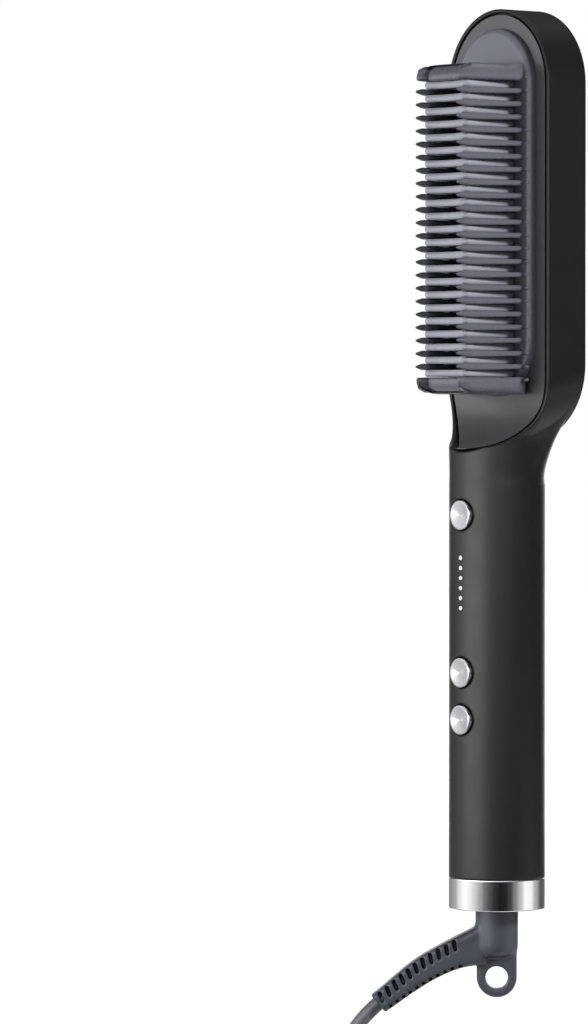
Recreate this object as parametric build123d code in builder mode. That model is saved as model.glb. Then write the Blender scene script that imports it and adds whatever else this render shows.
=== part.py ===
"""Heated comb brush for straightening hair: a round handle, a flat oval head with a plastic comb
and heated aluminium fins on its front, a coloured trim ring on its back, and a mains lead that
turns on a swivel at the handle's end.

Frame: +Z runs along the handle towards the head, the comb points to -Y, +X is to the right seen
from the comb side. The origin is on the handle's axis at the middle of the grip. Heights are
written as millimetres above the handle's end, and up() turns them into Z.
"""
import os
from math import cos, radians, sin, sqrt, tan

from build123d import *

# Handle: a round tube, with a bright ring round its end, from RING_LOW up to RING_HEIGHT
HANDLE_RADIUS = 14.4
HANDLE_WALL = 2.0
GRIP_HEIGHT = 66.0
RING_LOW = -0.9
RING_HEIGHT = 8.4
RING_FLOOR = 2.0
RING_ROUND = 1.2
SPIGOT_LENGTH = 4.0

# Head: a stadium seen from the front, whose lower end leans down towards the comb side. Its
# straight length follows from the comb's rows. CHEEK_DEPTH is how far its outline is carried
# forward beside the ramp
HEAD_HALF_WIDTH = 22.8
HEAD_FRONT_LOW = 158.0
HEAD_LEAN = 5.0
HEAD_FRONT = 0.2
HEAD_BACK = 16.0
HEAD_EDGE_ROUND = 1.6
HEAD_RIM = 1.0
CHEEK_DEPTH = 8.7
HEAD_LEDGE = 1.8
HEAD_WEB = 2.0

# Neck: sections that grow from the round handle to the squarer head. Each has its distance below
# the head's widest front, its share of the way from the handle's half width to the head's, its
# back corners' radius as a share of the handle's, and its back's share of the way to the head's
NECK_SECTIONS = (
    (32.0, 0.0, 0.99, 0.0),
    (25.0, 0.0, 0.93, 0.1),
    (20.0, 0.04, 0.73, 0.35),
    (16.0, 0.12, 0.53, 0.5),
    (12.0, 0.33, 0.32, 0.5),
    (7.0, 0.62, 0.17, 0.5),
)
RAMP_DROP = 20.6

# Front panel: lies in the head's rebate and follows its ramp on to the handle
PANEL_THICKNESS = 1.8
PANEL_GAP = 0.8
PANEL_SINK = 0.2

# Back trim ring and plate, seated in a recess of the head's back
RING_MARGIN = 1.1
TRIM_WIDTH = 3.8
TRIM_PROUD = 0.3
TRIM_ROUND = 0.6
PLATE_THICKNESS = 1.4
FIT_GAP = 0.15

# Comb: a stadium platform with a ladder of tooth rows
PLATFORM_RADIUS = 16.9
PLATFORM_FRONT = -2.1
PLATFORM_RISE = 0.7
COMB_LOW_MARGIN = 4.94
COMB_HIGH_MARGIN = 15.4
ROWS = 24
ROW_PITCH = 3.905
TOOTH_THICKNESS = 1.6
END_ROW_EXTRA = 3.5
TOOTH_TIP = -24.8
TOOTH_SHOULDER = -20.2
TOOTH_TIP_X = 9.4
TOOTH_FOOT_X = 14.4
TOOTH_SHOULDER_X = 11.0
TOOTH_INNER_X = 7.6
TOOTH_END_THICKNESS = 0.5
FOOT_BUMP_INSET = 0.9
FOOT_BUMP_RADIUS = 0.75
CROSSBAR_TOP = -6.0
ROW_ROOT = -1.1

# Heater behind and between the rows
FIN_HALF_WIDTH = 9.8
FIN_GAP = 0.19
WINDOW_GAP = 0.5
FIN_TOP = -21.2
FIN_DIP = 2.0
FIN_CORNER = 2.0
FIN_BASE_FRONT = 0.2
FIN_BASE_BACK = 2.2
TILE_THICKNESS = 1.8
TILE_WIDTH = 14.0
TILES = 4
ELECTRODE_THICKNESS = 0.3
INSULATION_THICKNESS = 0.3
CLAMP_THICKNESS = 1.2
BOSS_RADIUS = 2.6
BOSS_GAP = 0.2
SCREW_RADIUS = 1.1
SCREW_HEAD_RADIUS = 1.9
SCREW_HEAD = 1.2
FUSE_RADIUS = 1.7
FUSE_LENGTH = 11.0

# Buttons and indicator lights on the comb side of the handle
BUTTON_RADIUS = 4.5
BUTTON_GAP = 0.3
BUTTON_PROUD = 0.5
BUTTON_TRAVEL = 0.6
BUTTON_FLANGE = 1.0
BUTTON_FLANGE_RADIUS = 5.4
BUTTON_STEM_RADIUS = 1.6
MINUS_HEIGHT = 56.1
BUTTON_SPACING = 14.1
LIGHTS_RISE = 19.3
POWER_RISE = 12.8
LIGHTS = 6
LIGHT_PITCH = 3.0
LIGHT_RADIUS = 0.65
LIGHT_GAP = 0.05

# Circuit board and its tray
BOARD_FRONT = -4.4
BOARD_THICKNESS = 1.6
BOARD_BELOW = 16.1
BOARD_ABOVE = 6.7
TRAY_THICKNESS = 1.8
TRAY_GAP = 0.1
SWITCH_SIZE = 6.0
SWITCH_BODY = 3.4
PLUNGER_RADIUS = 1.7
SWITCH_REST_GAP = 0.1

# Swivel at the handle's end
STUB_RADIUS = 6.4
STUB_FLANGE = 2.0
BUSH_WALL = 1.5
BUSH_CLEARANCE = 1.9
STUB_HOLE = 2.6
SWIVEL_GAP = 0.3
BEARING_GAP = 0.08
BUSH_HEIGHT = 4.0
CAP_THICKNESS = 1.8
SLIP_RING_RADIUS = 4.0
SLIP_RING_HEIGHT = 1.6
SPIGOT_RADIUS = 3.4
STUB_DROP = 9.0
GUARD_SPIGOT_RADIUS = 4.4

# Cord guard: knuckle, hanging loop and ribbed arm. Its plane faces 49 degrees from the comb side
GUARD_TURN = 49.0
KNUCKLE_BOTTOM = -15.5
LOOP_CENTRE = -21.8
LOOP_RADIUS = 6.0
LOOP_HOLE_RADIUS = 3.4
LOOP_HALF_THICKNESS = 2.2
ARM_HALF_THICKNESS = 4.2
ARM_TOP = ((-5.0, -5.6), (-12.1, -9.4), (-18.5, -12.8), (-25.0, -16.8), (-31.0, -21.7),
           (-37.7, -27.3))
ARM_BOTTOM = ((-33.4, -32.2), (-25.2, -26.4), (-16.5, -21.2), (-8.5, -18.4), (-3.0, -18.0))
ARM_EDGE_ROUND = 1.5
SLOTS = 11
SLOT_FIRST = 0.23
SLOT_LAST = 0.93
SLOT_WIDTH = 1.2
SLOT_DEPTH = 3.4
SLOT_INSET = 0.5
SLOT_WEB = 1.8
SLOT_LEAN = 18.0
NOTCH_DEPTH = 1.1
NOTCH_INSET = 0.2

# Mains lead: from the guard down into a tied hank that hangs in line below it, then the plug
CORD_RADIUS = 2.2
CORD_START = (-35.55, -29.75)
HANK_TOP = -66.0
HANK_HEIGHT = 88.0
HANK_CENTRE = -31.0
HANK_END_RADIUS = 20.0
HANK_WAIST = 19.0
HANK_DEPTH = 22.0
TIE_HEIGHT = 8.0
TIE_THICKNESS = 1.2
TAIL_FOLD_WIDTH = 30.0
TAIL_BACK = -8.8
PLUG_WIDTH = 35.3
PLUG_THICKNESS = 13.7
PLUG_LENGTH = 24.0
PLUG_NECK = 14.0
PIN_RADIUS = 2.0
PIN_LENGTH = 19.0
PIN_SPACING = 18.6

# Small parts of the heater, board and swivel
RECESS_DEPTH = 1.9
TILE_MARGIN = 2.0
TILE_SPACE = 0.6
SENSOR_RISE = 11.4
SENSOR_WIDTH = 5.0
SENSOR_LUG = 0.8
SENSOR_BEAD = 1.3
FUSE_DROP = 13.6
TRAY_END = 4.0
RAIL_WIDTH = 1.6
RAIL_GAP = 1.4
PLUNGER_HEIGHT = 0.5
LED_WIDTH = 1.6
LED_HEIGHT = 0.8
PIPE_BAR = 1.0
CAPACITOR_SIZE = (8.6, 12.0, 5.0)
RELAY_SIZE = (10.0, 9.0, 5.5)
CHIP_SIZE = (4.6, 5.0, 1.2)
COMPONENT_GAP = 0.9
WIRE_RADIUS = 0.8
LEAD_X = 4.0
LEAD_BEND = 1.1
BUTTON_CHAMFER = 0.4
BUTTON_DISH = 0.25
GUARD_GAP = 0.5
SLIP_SPACE = 1.0
CONTACT_INSET = 1.9
CONTACT_POST = 1.6
CONTACT_HEIGHT = 6.0
KNUCKLE_ROUND = 3.0
LOOP_EDGE_ROUND = 1.0
TAIL_FOLD_RISE = 4.0
NECK_WALL = 1.2

# Values that follow from the ones above
BORE_RADIUS = HANDLE_RADIUS - HANDLE_WALL
GUARD_TOP = RING_LOW - GUARD_GAP
RAMP_LOW = HEAD_FRONT_LOW - RAMP_DROP
RAMP_RADIUS = HANDLE_RADIUS + HEAD_FRONT
RAMP_CENTRE = RAMP_LOW + RAMP_RADIUS
PLATFORM_LOW = RAMP_CENTRE + PLATFORM_RISE
FIRST_ROW = PLATFORM_LOW + COMB_LOW_MARGIN
LAST_ROW = FIRST_ROW + ROW_PITCH * (ROWS - 1)
HEATER_MIDDLE = (FIRST_ROW + LAST_ROW) / 2
HEAD_TOP_CENTRE = LAST_ROW + COMB_HIGH_MARGIN - PLATFORM_RADIUS
HEAD_BACK_LOW = HEAD_FRONT_LOW + HEAD_LEAN
FIN_THICKNESS = ROW_PITCH - TOOTH_THICKNESS - 2 * FIN_GAP
WINDOW_HALF_WIDTH = FIN_HALF_WIDTH + WINDOW_GAP
BOSS_X = FIN_HALF_WIDTH + BOSS_GAP + BOSS_RADIUS
PANEL_RADIUS = HEAD_HALF_WIDTH - HEAD_RIM
PANEL_FRONT = HEAD_FRONT + PANEL_SINK
PANEL_BACK = PANEL_FRONT + PANEL_THICKNESS
CAVITY_RADIUS = PANEL_RADIUS - HEAD_LEDGE
RECESS_RADIUS = HEAD_HALF_WIDTH - RING_MARGIN
WEB_BACK = HEAD_BACK - RECESS_DEPTH
WEB_FRONT = WEB_BACK - HEAD_WEB
COMB_LOW = FIRST_ROW - TOOTH_THICKNESS / 2 - END_ROW_EXTRA
COMB_HIGH = LAST_ROW + TOOTH_THICKNESS / 2 + END_ROW_EXTRA
WINDOW_LOW = FIRST_ROW + TOOTH_THICKNESS / 2
WINDOW_HIGH = LAST_ROW - TOOTH_THICKNESS / 2
TILE_FRONT = FIN_BASE_BACK + ELECTRODE_THICKNESS
TILE_BACK = TILE_FRONT + TILE_THICKNESS
CLAMP_FRONT = TILE_BACK + ELECTRODE_THICKNESS + INSULATION_THICKNESS
CLAMP_BACK = CLAMP_FRONT + CLAMP_THICKNESS
TRAY_FRONT = BOARD_FRONT + BOARD_THICKNESS
BOSS_HEIGHTS = (FIRST_ROW + 4 * TILE_MARGIN, LAST_ROW - 4 * TILE_MARGIN)
PLUS_HEIGHT = MINUS_HEIGHT + BUTTON_SPACING
LIGHT_LOW = PLUS_HEIGHT + LIGHTS_RISE
POWER_HEIGHT = LIGHT_LOW + (LIGHTS - 1) * LIGHT_PITCH + POWER_RISE
BUTTON_HEIGHTS = {"power_button": POWER_HEIGHT, "plus_button": PLUS_HEIGHT,
                  "minus_button": MINUS_HEIGHT}
BUTTON_ROOM = BUTTON_FLANGE_RADIUS + COMPONENT_GAP
BOARD_LOW = MINUS_HEIGHT - BOARD_BELOW
BOARD_HIGH = POWER_HEIGHT + BOARD_ABOVE
TRAY_REACH = BORE_RADIUS - TRAY_GAP
BOARD_WIDTH = 2 * (sqrt(TRAY_REACH ** 2 - BOARD_FRONT ** 2) - RAIL_WIDTH - RAIL_GAP)
BUSH_RADIUS = BORE_RADIUS - BUSH_CLEARANCE
STUB_FLANGE_RADIUS = BUSH_RADIUS - BUSH_WALL
CONTACT_X = BUSH_RADIUS - CONTACT_INSET
FLANGE_LOW = RING_FLOOR + BUSH_HEIGHT + SWIVEL_GAP
CAP_LOW = FLANGE_LOW + STUB_FLANGE + SWIVEL_GAP
CAP_TOP = CAP_LOW + CAP_THICKNESS
SLIP_LOW = CAP_TOP + SWIVEL_GAP
STUB_TOP = SLIP_LOW + 2 * SLIP_RING_HEIGHT + 2 * SLIP_SPACE


def up(height):
    """Z of a height above the handle's end."""
    return height - GRIP_HEIGHT


def front_plane(y):
    """A plane facing the comb side: its x is X and its y is Z."""
    return Plane(origin=(0, y, 0), x_dir=(1, 0, 0), z_dir=(0, -1, 0))


def cord_plane(out=0.0):
    """The guard's middle plane: its x points away from the arm and its y is up from the end."""
    turn = radians(GUARD_TURN)
    facing = (sin(turn), -cos(turn), 0)
    origin = (out * facing[0], out * facing[1], up(0))
    return Plane(origin=origin, x_dir=(cos(turn), sin(turn), 0), z_dir=facing)


def stadium(low, high, radius):
    """Draws a stadium between two centre heights in a sketch on a front plane."""
    with Locations((0, up((low + high) / 2))):
        SlotCenterToCenter(high - low, 2 * radius, rotation=90)


def save(piece, name):
    """Labels a finished piece and writes its STEP file."""
    piece.part.label = name
    export_step(piece.part, f"parts/{name}.step")


def neck_section(drop, widening, corner_share, back_share):
    """A closed outline: round on the comb side, with rounded corners at the back."""
    height = HEAD_FRONT_LOW - drop
    half_width = HANDLE_RADIUS + widening * (HEAD_HALF_WIDTH - HANDLE_RADIUS)
    back = HANDLE_RADIUS + back_share * (HEAD_BACK - HANDLE_RADIUS)
    corner = corner_share * HANDLE_RADIUS
    mid = corner * (1 - sqrt(0.5))
    with BuildSketch(Plane.XY.offset(up(height))) as section:
        with BuildLine():
            ThreePointArc((-half_width, 0), (0, -HANDLE_RADIUS), (half_width, 0))
            Line((half_width, 0), (half_width, back - corner))
            ThreePointArc((half_width, back - corner), (half_width - mid, back - mid),
                          (half_width - corner, back))
            Line((half_width - corner, back), (corner - half_width, back))
            ThreePointArc((corner - half_width, back), (mid - half_width, back - mid),
                          (-half_width, back - corner))
            Line((-half_width, back - corner), (-half_width, 0))
        make_face()
    return section.sketch


def head_slab():
    """The flat head: its lower end leans, and its back edge is rounded."""
    with BuildPart() as head:
        with BuildSketch(front_plane(HEAD_FRONT)):
            stadium(HEAD_FRONT_LOW, HEAD_TOP_CENTRE, HEAD_HALF_WIDTH)
        with BuildSketch(front_plane(HEAD_BACK)):
            stadium(HEAD_BACK_LOW, HEAD_TOP_CENTRE, HEAD_HALF_WIDTH)
        loft()
        fillet(head.faces().sort_by(Axis.Y)[-1].edges(), HEAD_EDGE_ROUND)
    return head.part


def body_form():
    """The solid outer form of handle, neck, head and cheeks, before the ramp is cut."""
    with BuildPart() as form:
        loft([neck_section(*values) for values in NECK_SECTIONS])
        with BuildSketch(Plane.XY.offset(up(RING_HEIGHT))):
            Circle(HANDLE_RADIUS)
        extrude(amount=HEAD_FRONT_LOW - NECK_SECTIONS[0][0] - RING_HEIGHT)
        with BuildSketch(front_plane(HEAD_FRONT)):
            stadium(HEAD_FRONT_LOW, HEAD_TOP_CENTRE, HEAD_HALF_WIDTH)
        extrude(amount=HEAD_FRONT + CHEEK_DEPTH)
        add(head_slab())
    return form.part


def ramp_outline(sink):
    """The side profile in front of the head's face and ramp, sunk by a distance."""
    reach = 2 * HANDLE_RADIUS
    radius = RAMP_RADIUS + sink
    high = up(HEAD_TOP_CENTRE + 2 * HEAD_HALF_WIDTH)
    centre = up(RAMP_CENTRE)
    with BuildSketch(Plane.YZ) as outline:
        with BuildLine():
            Line((HEAD_FRONT + sink, high), (HEAD_FRONT + sink, centre))
            ThreePointArc((HEAD_FRONT + sink, centre),
                          (-HANDLE_RADIUS + radius * sqrt(0.5), centre - radius * sqrt(0.5)),
                          (-HANDLE_RADIUS, centre - radius))
            Polyline((-HANDLE_RADIUS, centre - radius), (-reach, centre - radius),
                     (-reach, high), (HEAD_FRONT + sink, high))
        make_face()
    return outline.sketch


def panel_rebate():
    """The space that the front panel lies in: a stadium in front of the ramp's sunk profile."""
    with BuildPart() as rebate:
        with BuildSketch(front_plane(HEAD_BACK)):
            stadium(HEAD_FRONT_LOW, HEAD_TOP_CENTRE, PANEL_RADIUS)
        extrude(amount=HEAD_BACK + 2 * HANDLE_RADIUS)
        extrude(ramp_outline(PANEL_SINK + PANEL_THICKNESS), amount=2 * HEAD_HALF_WIDTH,
                both=True, mode=Mode.INTERSECT)
    return rebate.part


def make_housing(form):
    """Handle tube and head shell, moulded in one piece."""
    with BuildPart() as main_housing:
        add(form)
        extrude(ramp_outline(0), amount=HEAD_HALF_WIDTH * 2, both=True, mode=Mode.SUBTRACT)
        add(panel_rebate(), mode=Mode.SUBTRACT)
        # head cavity, handle bore, back recess
        with BuildSketch(front_plane(WEB_FRONT)):
            stadium(HEAD_BACK_LOW, HEAD_TOP_CENTRE, CAVITY_RADIUS)
        extrude(amount=WEB_FRONT - HEAD_FRONT, mode=Mode.SUBTRACT)
        with BuildSketch(Plane.XY.offset(up(RING_HEIGHT))):
            Circle(BORE_RADIUS)
        extrude(amount=RAMP_LOW - HANDLE_WALL - RING_HEIGHT - PANEL_THICKNESS, mode=Mode.SUBTRACT)
        with BuildSketch(Plane.XY.offset(up(RAMP_LOW - 2 * HANDLE_WALL - PANEL_THICKNESS))):
            Rectangle(BORE_RADIUS, WEB_FRONT, align=(Align.CENTER, Align.MIN))
        extrude(amount=HEAD_BACK_LOW - RAMP_LOW, mode=Mode.SUBTRACT)
        with BuildSketch(front_plane(HEAD_BACK)):
            stadium(HEAD_BACK_LOW, HEAD_TOP_CENTRE, RECESS_RADIUS)
        extrude(amount=HEAD_BACK - WEB_BACK, mode=Mode.SUBTRACT)
        # openings for the buttons and the light pipes
        with BuildSketch(front_plane(0)):
            for height in BUTTON_HEIGHTS.values():
                with Locations((0, up(height))):
                    Circle(BUTTON_RADIUS + BUTTON_GAP)
            with Locations(*[(0, up(LIGHT_LOW + i * LIGHT_PITCH)) for i in range(LIGHTS)]):
                Circle(LIGHT_RADIUS + LIGHT_GAP)
        extrude(amount=2 * HANDLE_RADIUS, mode=Mode.SUBTRACT)
    return main_housing


def boss_places():
    """The four screw places, on a front plane."""
    return [(x, up(height)) for x in (-BOSS_X, BOSS_X) for height in BOSS_HEIGHTS]


def window_sketch(y):
    """The heater's window in the panel and the comb's platform."""
    with BuildSketch(front_plane(y)) as window:
        with Locations((0, up((WINDOW_LOW + WINDOW_HIGH) / 2))):
            Rectangle(2 * WINDOW_HALF_WIDTH, WINDOW_HIGH - WINDOW_LOW)
    return window.sketch


def make_front_panel(form):
    """The oval front cover, whose lower end climbs the ramp on to the handle."""
    with BuildPart() as front_panel:
        add(form)
        with BuildSketch(front_plane(HEAD_BACK)):
            stadium(HEAD_FRONT_LOW, HEAD_TOP_CENTRE, PANEL_RADIUS - PANEL_GAP)
        extrude(amount=HEAD_BACK + 2 * HANDLE_RADIUS, mode=Mode.INTERSECT)
        extrude(ramp_outline(PANEL_SINK), amount=2 * HEAD_HALF_WIDTH, both=True, mode=Mode.SUBTRACT)
        extrude(ramp_outline(PANEL_SINK + PANEL_THICKNESS), amount=2 * HEAD_HALF_WIDTH, both=True,
                mode=Mode.INTERSECT)
        extrude(window_sketch(PANEL_BACK), amount=PANEL_THICKNESS, mode=Mode.SUBTRACT)
        # screw bosses behind the panel
        with BuildSketch(front_plane(CLAMP_FRONT)):
            with Locations(*boss_places()):
                Circle(BOSS_RADIUS)
                Circle(SCREW_RADIUS, mode=Mode.SUBTRACT)
        extrude(amount=CLAMP_FRONT - PANEL_BACK)
    return front_panel


def row_plan(height):
    """A row seen along the handle: two tapered teeth, their feet and the bar that joins them."""
    right = [(TOOTH_FOOT_X, ROW_ROOT), (TOOTH_SHOULDER_X, TOOTH_SHOULDER),
             (TOOTH_TIP_X, TOOTH_TIP), (TOOTH_INNER_X, TOOTH_SHOULDER),
             (TOOTH_INNER_X - 1, CROSSBAR_TOP - 2), (TOOTH_INNER_X - 3, CROSSBAR_TOP)]
    left = [(-x, y) for x, y in reversed(right)]
    with BuildSketch(Plane.XY.offset(up(height))) as plan:
        with BuildLine():
            Polyline(*right, *left, close=True)
        make_face()
    return plan.sketch


def row_profiles():
    """All rows seen from the side, each pointed at its tip."""
    tip = TOOTH_END_THICKNESS / 2
    with BuildSketch(Plane.YZ) as rows:
        for row in range(ROWS):
            middle = up(FIRST_ROW + row * ROW_PITCH)
            low = COMB_LOW if row == 0 else FIRST_ROW + row * ROW_PITCH - TOOTH_THICKNESS / 2
            high = COMB_HIGH if row == ROWS - 1 else FIRST_ROW + row * ROW_PITCH + TOOTH_THICKNESS / 2
            with BuildLine():
                Polyline((ROW_ROOT, up(low)), (TOOTH_SHOULDER, up(low)),
                         (TOOTH_TIP, middle - tip), (TOOTH_TIP, middle + tip),
                         (TOOTH_SHOULDER, up(high)), (ROW_ROOT, up(high)), close=True)
            make_face()
    return rows.sketch


def end_wall(low):
    """The full wall of an end row, between its two teeth."""
    with BuildSketch(Plane.XY.offset(up(low))) as wall:
        with BuildLine():
            Polyline((TOOTH_INNER_X, ROW_ROOT), (TOOTH_INNER_X + 1, FIN_TOP),
                     (-TOOTH_INNER_X - 1, FIN_TOP), (-TOOTH_INNER_X, ROW_ROOT), close=True)
        make_face()
    return wall.sketch


def make_comb():
    """The plastic comb: platform, ladder of tooth rows, two full end rows."""
    with BuildPart() as comb_frame:
        extrude(row_plan(COMB_LOW), amount=COMB_HIGH - COMB_LOW)
        extrude(row_profiles(), amount=HEAD_HALF_WIDTH, both=True, mode=Mode.INTERSECT)
        for low in (COMB_LOW, WINDOW_HIGH):
            extrude(end_wall(low), amount=TOOTH_THICKNESS + END_ROW_EXTRA)
        with BuildSketch(front_plane(PANEL_FRONT)):
            stadium(PLATFORM_LOW + PLATFORM_RADIUS, HEAD_TOP_CENTRE, PLATFORM_RADIUS)
        extrude(amount=PANEL_FRONT - PLATFORM_FRONT)
        extrude(window_sketch(PANEL_FRONT), amount=PANEL_FRONT - PLATFORM_FRONT, mode=Mode.SUBTRACT)
        with BuildSketch(front_plane(PLATFORM_FRONT)):
            bump_x = PLATFORM_RADIUS - FOOT_BUMP_INSET - FOOT_BUMP_RADIUS
            with Locations(*[(side * bump_x, up(FIRST_ROW + row * ROW_PITCH))
                             for row in range(1, ROWS - 1) for side in (-1, 1)]):
                Circle(FOOT_BUMP_RADIUS)
        extrude(amount=FOOT_BUMP_RADIUS)
    return comb_frame


def fin_plan(height):
    """A fin seen along the handle: round top corners and a shallow dip between them."""
    edge = FIN_HALF_WIDTH
    inner = FIN_HALF_WIDTH - FIN_CORNER
    low = FIN_TOP + FIN_CORNER
    mid = FIN_CORNER * (1 - sqrt(0.5))
    with BuildSketch(Plane.XY.offset(up(height))) as plan:
        with BuildLine():
            Polyline((-edge, low), (-edge, FIN_BASE_FRONT), (edge, FIN_BASE_FRONT), (edge, low))
            ThreePointArc((edge, low), (edge - mid, FIN_TOP + mid), (inner, FIN_TOP))
            ThreePointArc((inner, FIN_TOP), (0, FIN_TOP + FIN_DIP), (-inner, FIN_TOP))
            ThreePointArc((-inner, FIN_TOP), (mid - edge, FIN_TOP + mid), (-edge, low))
        make_face()
    return plan.sketch


def make_fins():
    """The die-cast heater: one fin between each two rows, on a base plate."""
    with BuildPart() as heating_fins:
        for gap in range(ROWS - 1):
            middle = FIRST_ROW + (gap + 0.5) * ROW_PITCH
            extrude(fin_plan(middle - FIN_THICKNESS / 2), amount=FIN_THICKNESS)
        with BuildSketch(front_plane(FIN_BASE_BACK)):
            with Locations((0, up(HEATER_MIDDLE))):
                Rectangle(2 * FIN_HALF_WIDTH, WINDOW_HIGH - WINDOW_LOW - 2 * FIT_GAP)
        extrude(amount=FIN_BASE_BACK - FIN_BASE_FRONT)
    return heating_fins


def slab(y, thickness, half_width, low, high):
    """A flat plate behind the fins: its back is at y + thickness."""
    with BuildPart() as plate:
        with BuildSketch(front_plane(y + thickness)):
            with Locations((0, up((low + high) / 2))):
                Rectangle(2 * half_width, high - low)
        extrude(amount=thickness)
    return plate


def make_tiles():
    """The ceramic heating tiles, in a row on the fins' base."""
    room = (LAST_ROW - FIRST_ROW - 2 * TILE_MARGIN) / TILES
    with BuildPart() as ptc_tiles:
        with BuildSketch(front_plane(TILE_BACK)):
            middle = up(HEATER_MIDDLE)
            with Locations(*[(0, middle + (i - (TILES - 1) / 2) * room) for i in range(TILES)]):
                Rectangle(TILE_WIDTH, room - TILE_SPACE)
        extrude(amount=TILE_THICKNESS)
    return ptc_tiles


def make_electrodes():
    """The two thin contact plates, before and behind the tiles."""
    with BuildPart() as electrode_plates:
        for back in (TILE_FRONT, TILE_BACK + ELECTRODE_THICKNESS):
            with BuildSketch(front_plane(back)):
                with Locations((0, up(HEATER_MIDDLE))):
                    Rectangle(TILE_WIDTH + 2 * FIT_GAP, WINDOW_HIGH - WINDOW_LOW - TILE_MARGIN)
            extrude(amount=ELECTRODE_THICKNESS)
    return electrode_plates


def make_clamp():
    """The steel plate that presses the tiles on to the fins, with its four screw holes."""
    with BuildPart() as heater_clamp:
        with BuildSketch(front_plane(CLAMP_BACK)):
            with Locations((0, up(HEATER_MIDDLE))):
                Rectangle(TILE_WIDTH, LAST_ROW - FIRST_ROW - 4 * TILE_MARGIN)
            for height in BOSS_HEIGHTS:
                with Locations((0, up(height))):
                    SlotCenterToCenter(2 * BOSS_X, 2 * BOSS_RADIUS)
            with Locations(*boss_places()):
                Circle(SCREW_RADIUS + FIT_GAP, mode=Mode.SUBTRACT)
        extrude(amount=CLAMP_THICKNESS)
    return heater_clamp


def make_screws():
    """Four pan-head screws through the clamp into the panel's bosses."""
    with BuildPart() as clamp_screws:
        with BuildSketch(front_plane(CLAMP_BACK + SCREW_HEAD)):
            with Locations(*boss_places()):
                Circle(SCREW_HEAD_RADIUS)
        extrude(amount=SCREW_HEAD)
        with BuildSketch(front_plane(CLAMP_BACK)):
            with Locations(*boss_places()):
                Circle(SCREW_RADIUS)
        extrude(amount=CLAMP_BACK - PANEL_BACK)
        with BuildSketch(front_plane(CLAMP_BACK + SCREW_HEAD)):
            with Locations(*boss_places()):
                Rectangle(SCREW_HEAD_RADIUS * 1.3, SCREW_HEAD_RADIUS / 4)
                Rectangle(SCREW_HEAD_RADIUS / 4, SCREW_HEAD_RADIUS * 1.3)
        extrude(amount=SCREW_HEAD / 2, mode=Mode.SUBTRACT)
    return clamp_screws


def make_thermistor():
    """The temperature sensor: a glass bead in a small lug on the clamp."""
    with BuildPart() as thermistor:
        with BuildSketch(front_plane(CLAMP_BACK + SENSOR_LUG)):
            with Locations((0, up(HEATER_MIDDLE + SENSOR_RISE))):
                Rectangle(SENSOR_WIDTH, SENSOR_WIDTH)
        extrude(amount=SENSOR_LUG)
        with BuildSketch(front_plane(CLAMP_BACK + SENSOR_LUG + SENSOR_BEAD)):
            with Locations((0, up(HEATER_MIDDLE + SENSOR_RISE))):
                Circle(SENSOR_BEAD)
        extrude(amount=SENSOR_BEAD)
    return thermistor


def make_fuse():
    """The thermal fuse: a small can lying along the clamp, with its two leads."""
    with BuildPart() as thermal_fuse:
        for radius, length in ((FUSE_RADIUS, FUSE_LENGTH), (FUSE_RADIUS / 4, 2 * FUSE_LENGTH)):
            with BuildSketch(Plane.XY.offset(up(HEATER_MIDDLE - FUSE_DROP) - length / 2)):
                with Locations((0, CLAMP_BACK + FUSE_RADIUS)):
                    Circle(radius)
            extrude(amount=length)
    return thermal_fuse


def make_back_ring():
    """The coloured trim ring, with both edges of its face rounded."""
    outer = RECESS_RADIUS - FIT_GAP
    with BuildPart() as back_ring:
        with BuildSketch(front_plane(HEAD_BACK + TRIM_PROUD)):
            stadium(HEAD_BACK_LOW, HEAD_TOP_CENTRE, outer)
            with Locations((0, up((HEAD_BACK_LOW + HEAD_TOP_CENTRE) / 2))):
                SlotCenterToCenter(HEAD_TOP_CENTRE - HEAD_BACK_LOW, 2 * (outer - TRIM_WIDTH),
                                   rotation=90, mode=Mode.SUBTRACT)
        extrude(amount=RECESS_DEPTH + TRIM_PROUD)
        fillet(back_ring.faces().sort_by(Axis.Y)[-1].edges(), TRIM_ROUND)
    return back_ring


def make_back_plate():
    """The dark plate inside the ring, with a rounded edge."""
    with BuildPart() as back_plate:
        with BuildSketch(front_plane(HEAD_BACK - RECESS_DEPTH + PLATE_THICKNESS)):
            stadium(HEAD_BACK_LOW, HEAD_TOP_CENTRE, RECESS_RADIUS - TRIM_WIDTH - 2 * FIT_GAP)
        extrude(amount=PLATE_THICKNESS)
        fillet(back_plate.faces().sort_by(Axis.Y)[-1].edges(), PLATE_THICKNESS / 4)
    return back_plate


def make_board():
    """The long circuit board in the handle."""
    with BuildPart() as main_board:
        with BuildSketch(front_plane(TRAY_FRONT)):
            with Locations((0, up((BOARD_LOW + BOARD_HIGH) / 2))):
                Rectangle(BOARD_WIDTH, BOARD_HIGH - BOARD_LOW)
        extrude(amount=BOARD_THICKNESS)
    return main_board


def make_tray():
    """The tray that carries the board: a web across the bore with a rail on each side."""
    with BuildPart() as board_tray:
        with BuildSketch(Plane.XY.offset(up(BOARD_LOW + TRAY_END))):
            Circle(TRAY_REACH)
            with Locations((0, TRAY_FRONT)):
                Rectangle(2 * TRAY_REACH, TRAY_THICKNESS, align=(Align.CENTER, Align.MIN),
                          mode=Mode.INTERSECT)
            for side in (-1, 1):
                with Locations((side * (BOARD_WIDTH / 2 + FIT_GAP + RAIL_WIDTH / 2), BOARD_FRONT)):
                    Rectangle(RAIL_WIDTH, BOARD_THICKNESS, align=(Align.CENTER, Align.MIN))
        extrude(amount=BOARD_HIGH - BOARD_LOW - 2 * TRAY_END)
    return board_tray


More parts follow.
